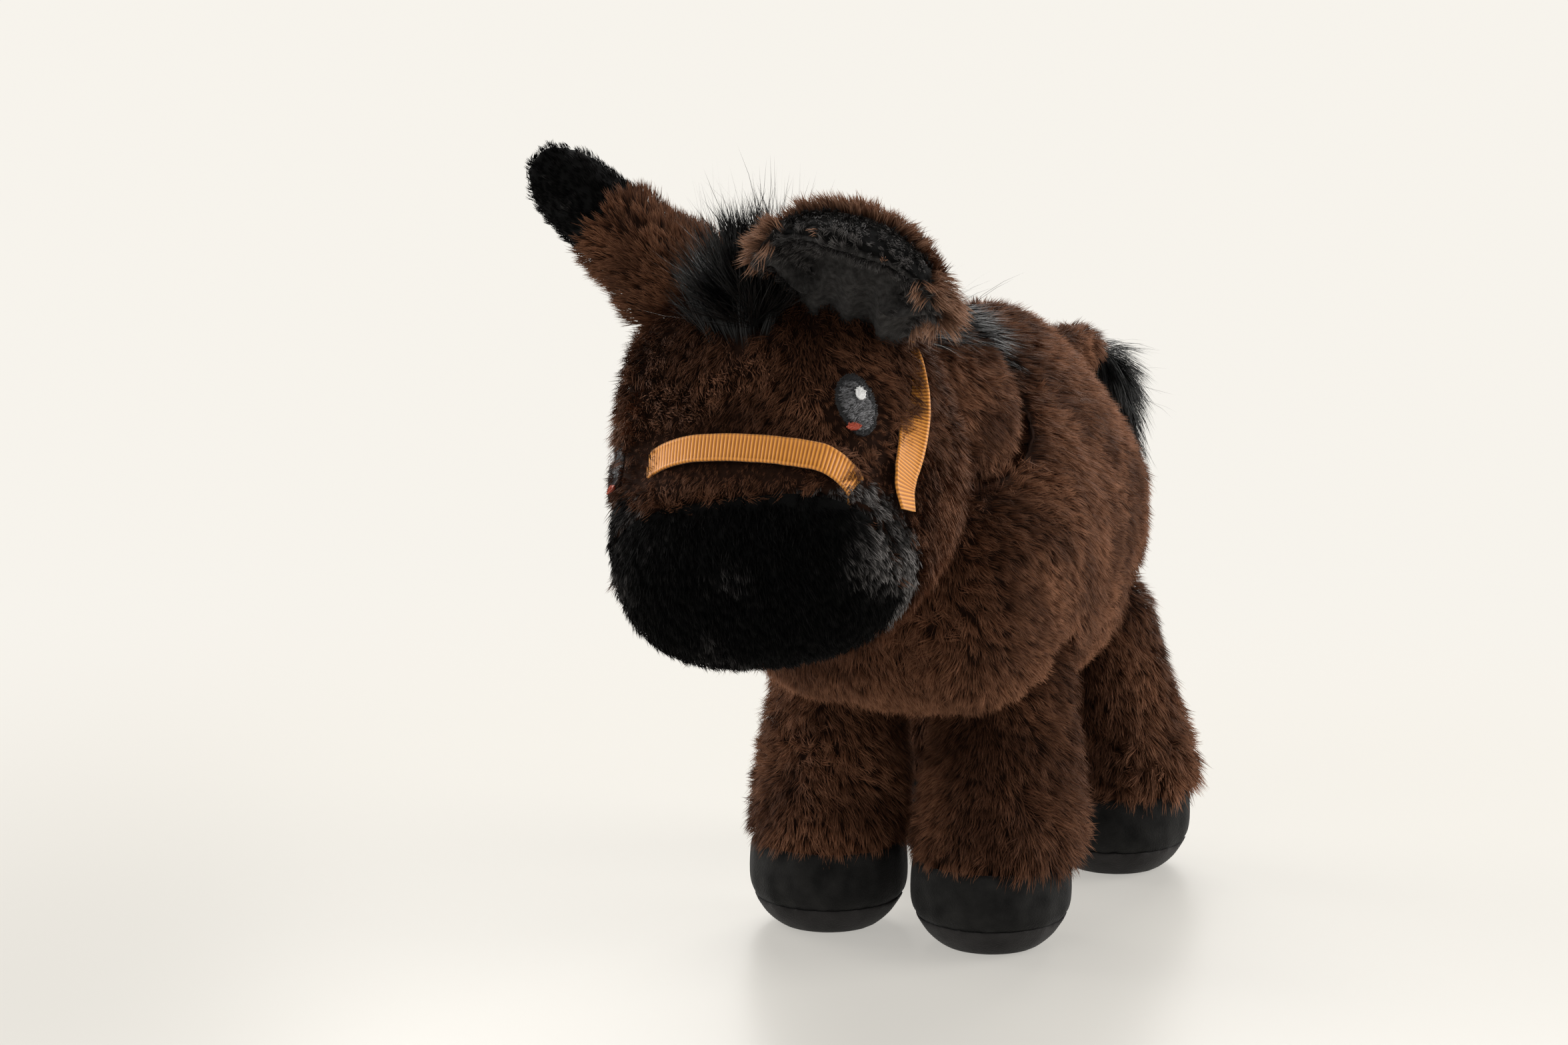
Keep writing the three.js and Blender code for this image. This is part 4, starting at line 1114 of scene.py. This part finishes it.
def lay_ribbon(
    name, solid, cuts, lift, sinks, eases, tuck=0.0, slips=(0, 0), twist=0.0, drop=0.0
):
    """A flat ribbon along its solid, lifted on the pile, its ends sunk, its start twisted."""
    rows = section_rows(solid, cuts)
    middles = eased(np.array([row[0] for row in rows]), 6)
    for end, inner in ((0, 3), (-1, -4)):
        pull = middles[end] - middles[inner]
        middles[end] += pull / np.linalg.norm(pull) * tuck
    steps = np.concatenate([[0], np.cumsum(np.linalg.norm(np.diff(middles, axis=0), axis=1))])
    length = steps[-1]
    at = np.linspace(0, length, int(length / rib_pitch * 4) + 1)
    line = along_ribbon(at, steps, middles, 20)
    run = np.gradient(line, axis=0)
    run /= np.linalg.norm(run, axis=1, keepdims=True)
    wide = np.array([row[1] for row in rows])
    for k in range(1, len(wide)):
        wide[k] *= 1 if wide[k] @ wide[k - 1] > 0 else -1
    wide = along_ribbon(at, steps, wide, 30)
    wide -= run * (wide * run).sum(1, keepdims=True)
    wide /= np.linalg.norm(wide, axis=1, keepdims=True)
    out = np.cross(run, wide)
    spine = head_at + np.outer((line - head_at) @ nose, nose)
    out *= np.sign(((line - spine) * out).sum(1, keepdims=True))
    skin = feeler(bags["head"].data)
    for i, place in enumerate(line):
        gap = skin.find_nearest(Vector(place))[3]
        share = at[i] / length
        moved = place + nose * (slips[1] * share**1.5 - slips[0] * (1 - share) ** 1.5)
        down = np.cross(nose, place - head_at)
        moved -= down * np.sign(down @ crown) / np.linalg.norm(down) * drop
        touch, facing = skin.find_nearest(Vector(moved))[:2]
        line[i] = np.array(touch) + np.array(facing) * gap
    line = eased(line, 40)
    for sink, ease, from_end in zip(sinks, eases, (at, length - at)):
        line = line - out * sink * np.clip(1 - from_end / ease, 0, 1)[:, None] ** 1.5
    line = line + out * lift
    turned = twist * rise(0.9 - at / length, 0, 0.4)[:, None]
    turned = turned * np.sign((wide @ nose).mean())
    tilted = wide * np.cos(turned) - out * np.sin(turned)
    out = out * np.cos(turned) + wide * np.sin(turned)
    ribbon = new_piece(name, woven_mesh(name, at, line, tilted, out))
    sizes = {"Rib pitch": rib_pitch, "Rib height": rib_height, "Weave": ochre}
    run_tree(ribbon, grosgrain, sizes)
    ribbon.data.shade_smooth()
    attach(ribbon, "head")
    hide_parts(solid)


def fan_cuts(solid, count):
    """Cuts through the head's own axis, from one end of a strap over the top to the other."""
    spots = points_of(frame["nodes"][solid]) - head_at
    angles = np.arctan2(spots @ across, spots @ crown)
    for angle in np.linspace(angles.min() + 0.01, angles.max() - 0.01, count):
        beside = across * math.sin(angle) + crown * math.cos(angle)
        yield head_at, np.cross(nose, beside), beside


def slice_cuts(solid, count):
    """Cuts square to a strap's own run."""
    spots = points_of(frame["nodes"][solid])
    run = np.linalg.svd(spots - spots.mean(0), full_matrices=False)[2][0]
    run = run * np.sign(run @ nose)
    reach = (spots - spots.mean(0)) @ run
    for share in np.linspace(reach.min() + 0.0015, reach.max() - 0.0015, count):
        yield spots.mean(0) + run * share, run, None


lay_ribbon(
    "noseband_ribbon",
    "noseband",
    fan_cuts("noseband", 48),
    lift=0.0012,
    sinks=(0.016, 0.013),
    eases=(0.046, 0.026),
    tuck=0.003,
    slips=(band_slip, band_slide),
)
lay_ribbon(
    "crown_ribbon",
    "crown_strap",
    fan_cuts("crown_strap", 32),
    lift=-0.001,
    sinks=(0.002, 0.002),
    eases=(0.012, 0.012),
)
for side, lift, twist, drop in (("left", 0.0016, 1.25, 0.0), ("right", 0.0, 0.8, far_strap_drop)):
    lay_ribbon(
        "cheek_ribbon_" + side,
        "cheek_strap_" + side,
        slice_cuts("cheek_strap_" + side, 40),
        lift=lift,
        sinks=(0.018, 0.001),
        eases=(0.09, 0.06),
        tuck=0.002,
        twist=twist,
        drop=drop,
    )


# Eyes
# Each eye is embroidered straight onto the face in short satin stitches: a dark outline, a
# charcoal field, a white glint at the top and a small red corner.
def stitch_kinds(name, length, width, seed):
    """A few short threads, each a low three-sided stitch lying along its own Z."""
    drawer = bpy.data.collections.new(name)
    dice = np.random.default_rng(seed)
    for kind in range(4):
        thread = bmesh.new()
        strip = thread.loops.layers.uv.new("OFBake")
        tone = dice.uniform(0.05, 0.95)
        rings = []
        for share, fat in ((0, 0.3), (0.2, 1.0), (0.8, 1.0), (1.0, 0.3)):
            thick = width / 2 * fat
            ring = []
            for turn in (0.0, 2.09, 4.19):
                spot = (thick * math.cos(turn), thick * math.sin(turn), (share - 0.5) * length)
                ring.append(thread.verts.new(spot))
            rings.append(ring)
        for low, high in zip(rings, rings[1:]):
            for k in range(3):
                thread.faces.new((low[k], low[k - 2], high[k - 2], high[k]))
        thread.faces.new(rings[0][::-1])
        thread.faces.new(rings[-1])
        for face in thread.faces:
            for loop in face.loops:
                loop[strip].uv = (tone, 0.5 + loop.vert.co.z / length)
        label = f"{name}_{kind}"
        drawer.objects.link(bpy.data.objects.new(label, finished_mesh(label, thread)))
    return drawer


stitches = stitch_kinds("stitch", 0.0015, 0.00034, 37)
sewn_flat = {
    "Tufts per square metre": 4.5e6,
    "Lean": 1.5,
    "Lock size": 0.002,
    "Lock pull": 0.6,
    "Swirl size": 0.01,
    "Swirl pull": 0.3,
    "Stray": 0.08,
    "Shade size": 0.0012,
}
eye_sinks = {"left": 0.001, "right": 0.0028}
field_growth = 0.12
corner_inward, corner_ahead, corner_sink = 0.0014, 0.0015, 0.0004
for part, dull, bright, slot in (
    ("rim", (0.012, 0.012, 0.013), (0.03, 0.031, 0.034), "dark_thread"),
    ("field", (0.015, 0.015, 0.016), (0.32, 0.32, 0.335), "grey_thread"),
    ("glint", (0.9, 0.9, 0.9), (1.0, 1.0, 1.0), "white_thread"),
    ("corner", (0.32, 0.045, 0.022), (0.60, 0.12, 0.06), "red_thread"),
):
    thread = pile_finish(part + "_thread", (dull,) * 3, (bright,) * 3, rough=0.45, gloss=0.4)
    for side in ("left", "right"):
        node = f"eye_{side}_{part}"
        pad = merged_solid(node + "_pad", [node])
        round_off = pad.modifiers.new("fine", "SUBSURF")
        round_off.subdivision_type = "SIMPLE"
        round_off.levels = round_off.render_levels = 2
        settle(pad)
        facing = np.array(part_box(f"eye_{side}_field")).mean(0) - head_at
        facing -= nose * (facing @ nose)
        facing /= np.linalg.norm(facing)
        spots = points_of(pad) - facing * eye_sinks[side]
        if side == "right":
            down = facing * (crown @ facing) - crown
            spots += down / np.linalg.norm(down) * far_eye_drop
        if part == "field":
            off = spots - spots.mean(0)
            spots += field_growth * (off - np.outer(off @ facing, facing))
        if part == "corner":
            inward = facing * (across @ facing) - across
            inward *= corner_inward / np.linalg.norm(inward)
            shift = corner_ahead * nose - corner_sink * facing
            spots += (inward if side == "left" else -inward) + shift
        move_points(pad, spots)
        front = (normals_of(pad) @ facing > 0.3).astype(float)
        sewn = (stitches, thread, slot, sewn_flat)
        grow_pile(node + "_stitches", pad, "head", sewn, 101, across * 0.6 + crown * 0.35, front)
        pad.data.materials.clear()
        pad.data.materials.append(thread)
        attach(pad, "head")
        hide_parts(node)


# Floor, light and camera
# A pale sweep of paper, lit softly from behind, above and both sides, so that the pile's edges
# catch the light and the side towards the camera stays in gentle shade.
def lamp(name, place, size, power):
    light = bpy.data.lights.new(name, "AREA")
    light.shape = "RECTANGLE"
    light.size, light.size_y = size
    light.energy = power
    light.color = (1, 0.98, 0.95)
    panel = bpy.data.objects.new(name, light)
    panel.location = place
    aim = Vector((0, 0, 0.14)) - Vector(place)
    panel.rotation_euler = aim.to_track_quat("-Z", "Y").to_euler()
    scene.collection.objects.link(panel)


sweep = bpy.data.meshes.new("sweep")
sweep.from_pydata(
    [(-40, -40, 0), (40, -40, 0), (40, 40, 0), (-40, 40, 0)], [], [(0, 1, 2, 3)]
)
cream, paper, paper_looks = new_finish("cream_paper", rough=0.28, gloss=0.5)
paper_looks["Base Color"].default_value = (0.50, 0.485, 0.45, 1)
near_paper = paper.nodes["Principled BSDF"].outputs["BSDF"]
place = paper.nodes.new("ShaderNodeTexCoord").outputs["Object"]
away = add_step(paper, "ShaderNodeVectorMath", {0: place}, operation="LENGTH").node
far = add_step(
    paper,
    "ShaderNodeMapRange",
    {"Value": away.outputs["Value"], "From Min": 0.25, "From Max": 0.75, "To Min": 0.45},
    interpolation_type="SMOOTHSTEP",
)
far_paper = add_step(
    paper, "ShaderNodeEmission", {"Color": (0.93, 0.90, 0.84, 1), "Strength": 1.0}
)
both = add_step(paper, "ShaderNodeMixShader", {0: far, 1: near_paper, 2: far_paper})
paper.links.new(both, paper.nodes["Material Output"].inputs["Surface"])
sweep.materials.append(cream)
new_piece("sweep", sweep)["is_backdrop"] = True

world = bpy.data.worlds.new("room")
world.use_nodes = True
scene.world = world
room = world.node_tree.nodes["Background"]
room.inputs["Color"].default_value = (1, 0.98, 0.94, 1)
room.inputs["Strength"].default_value = 0.5
lamp("back", (-0.5, 1.6, 1.3), (1.6, 1.0), 45)
lamp("right", (1.7, 0.9, 1.0), (1.2, 1.2), 32)
lamp("left", (-1.7, 0.1, 0.9), (1.2, 1.2), 22)
lamp("front", (-0.4, -1.8, 1.2), (1.4, 1.0), 8)

lens = bpy.data.cameras.new("camera")
lens.lens = 85
lens.sensor_width = 36
soles = [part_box(f"hoof_{leg}_sole") for leg in legs]
stand = np.mean([np.mean(box, axis=0) for box in soles], axis=0)
camera = bpy.data.objects.new("camera", lens)
camera.location = (stand[0] + 0.5271, stand[1] - 1.2668, 0.3846)
camera.rotation_euler = (math.radians(80), 0, math.radians(25.6))
scene.collection.objects.link(camera)
scene.camera = camera
scene.view_settings.view_transform = "Standard"

boxes = {"cad": cad_box, "visual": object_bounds()}
{key: [list(corner) for corner in box] for key, box in boxes.items()}
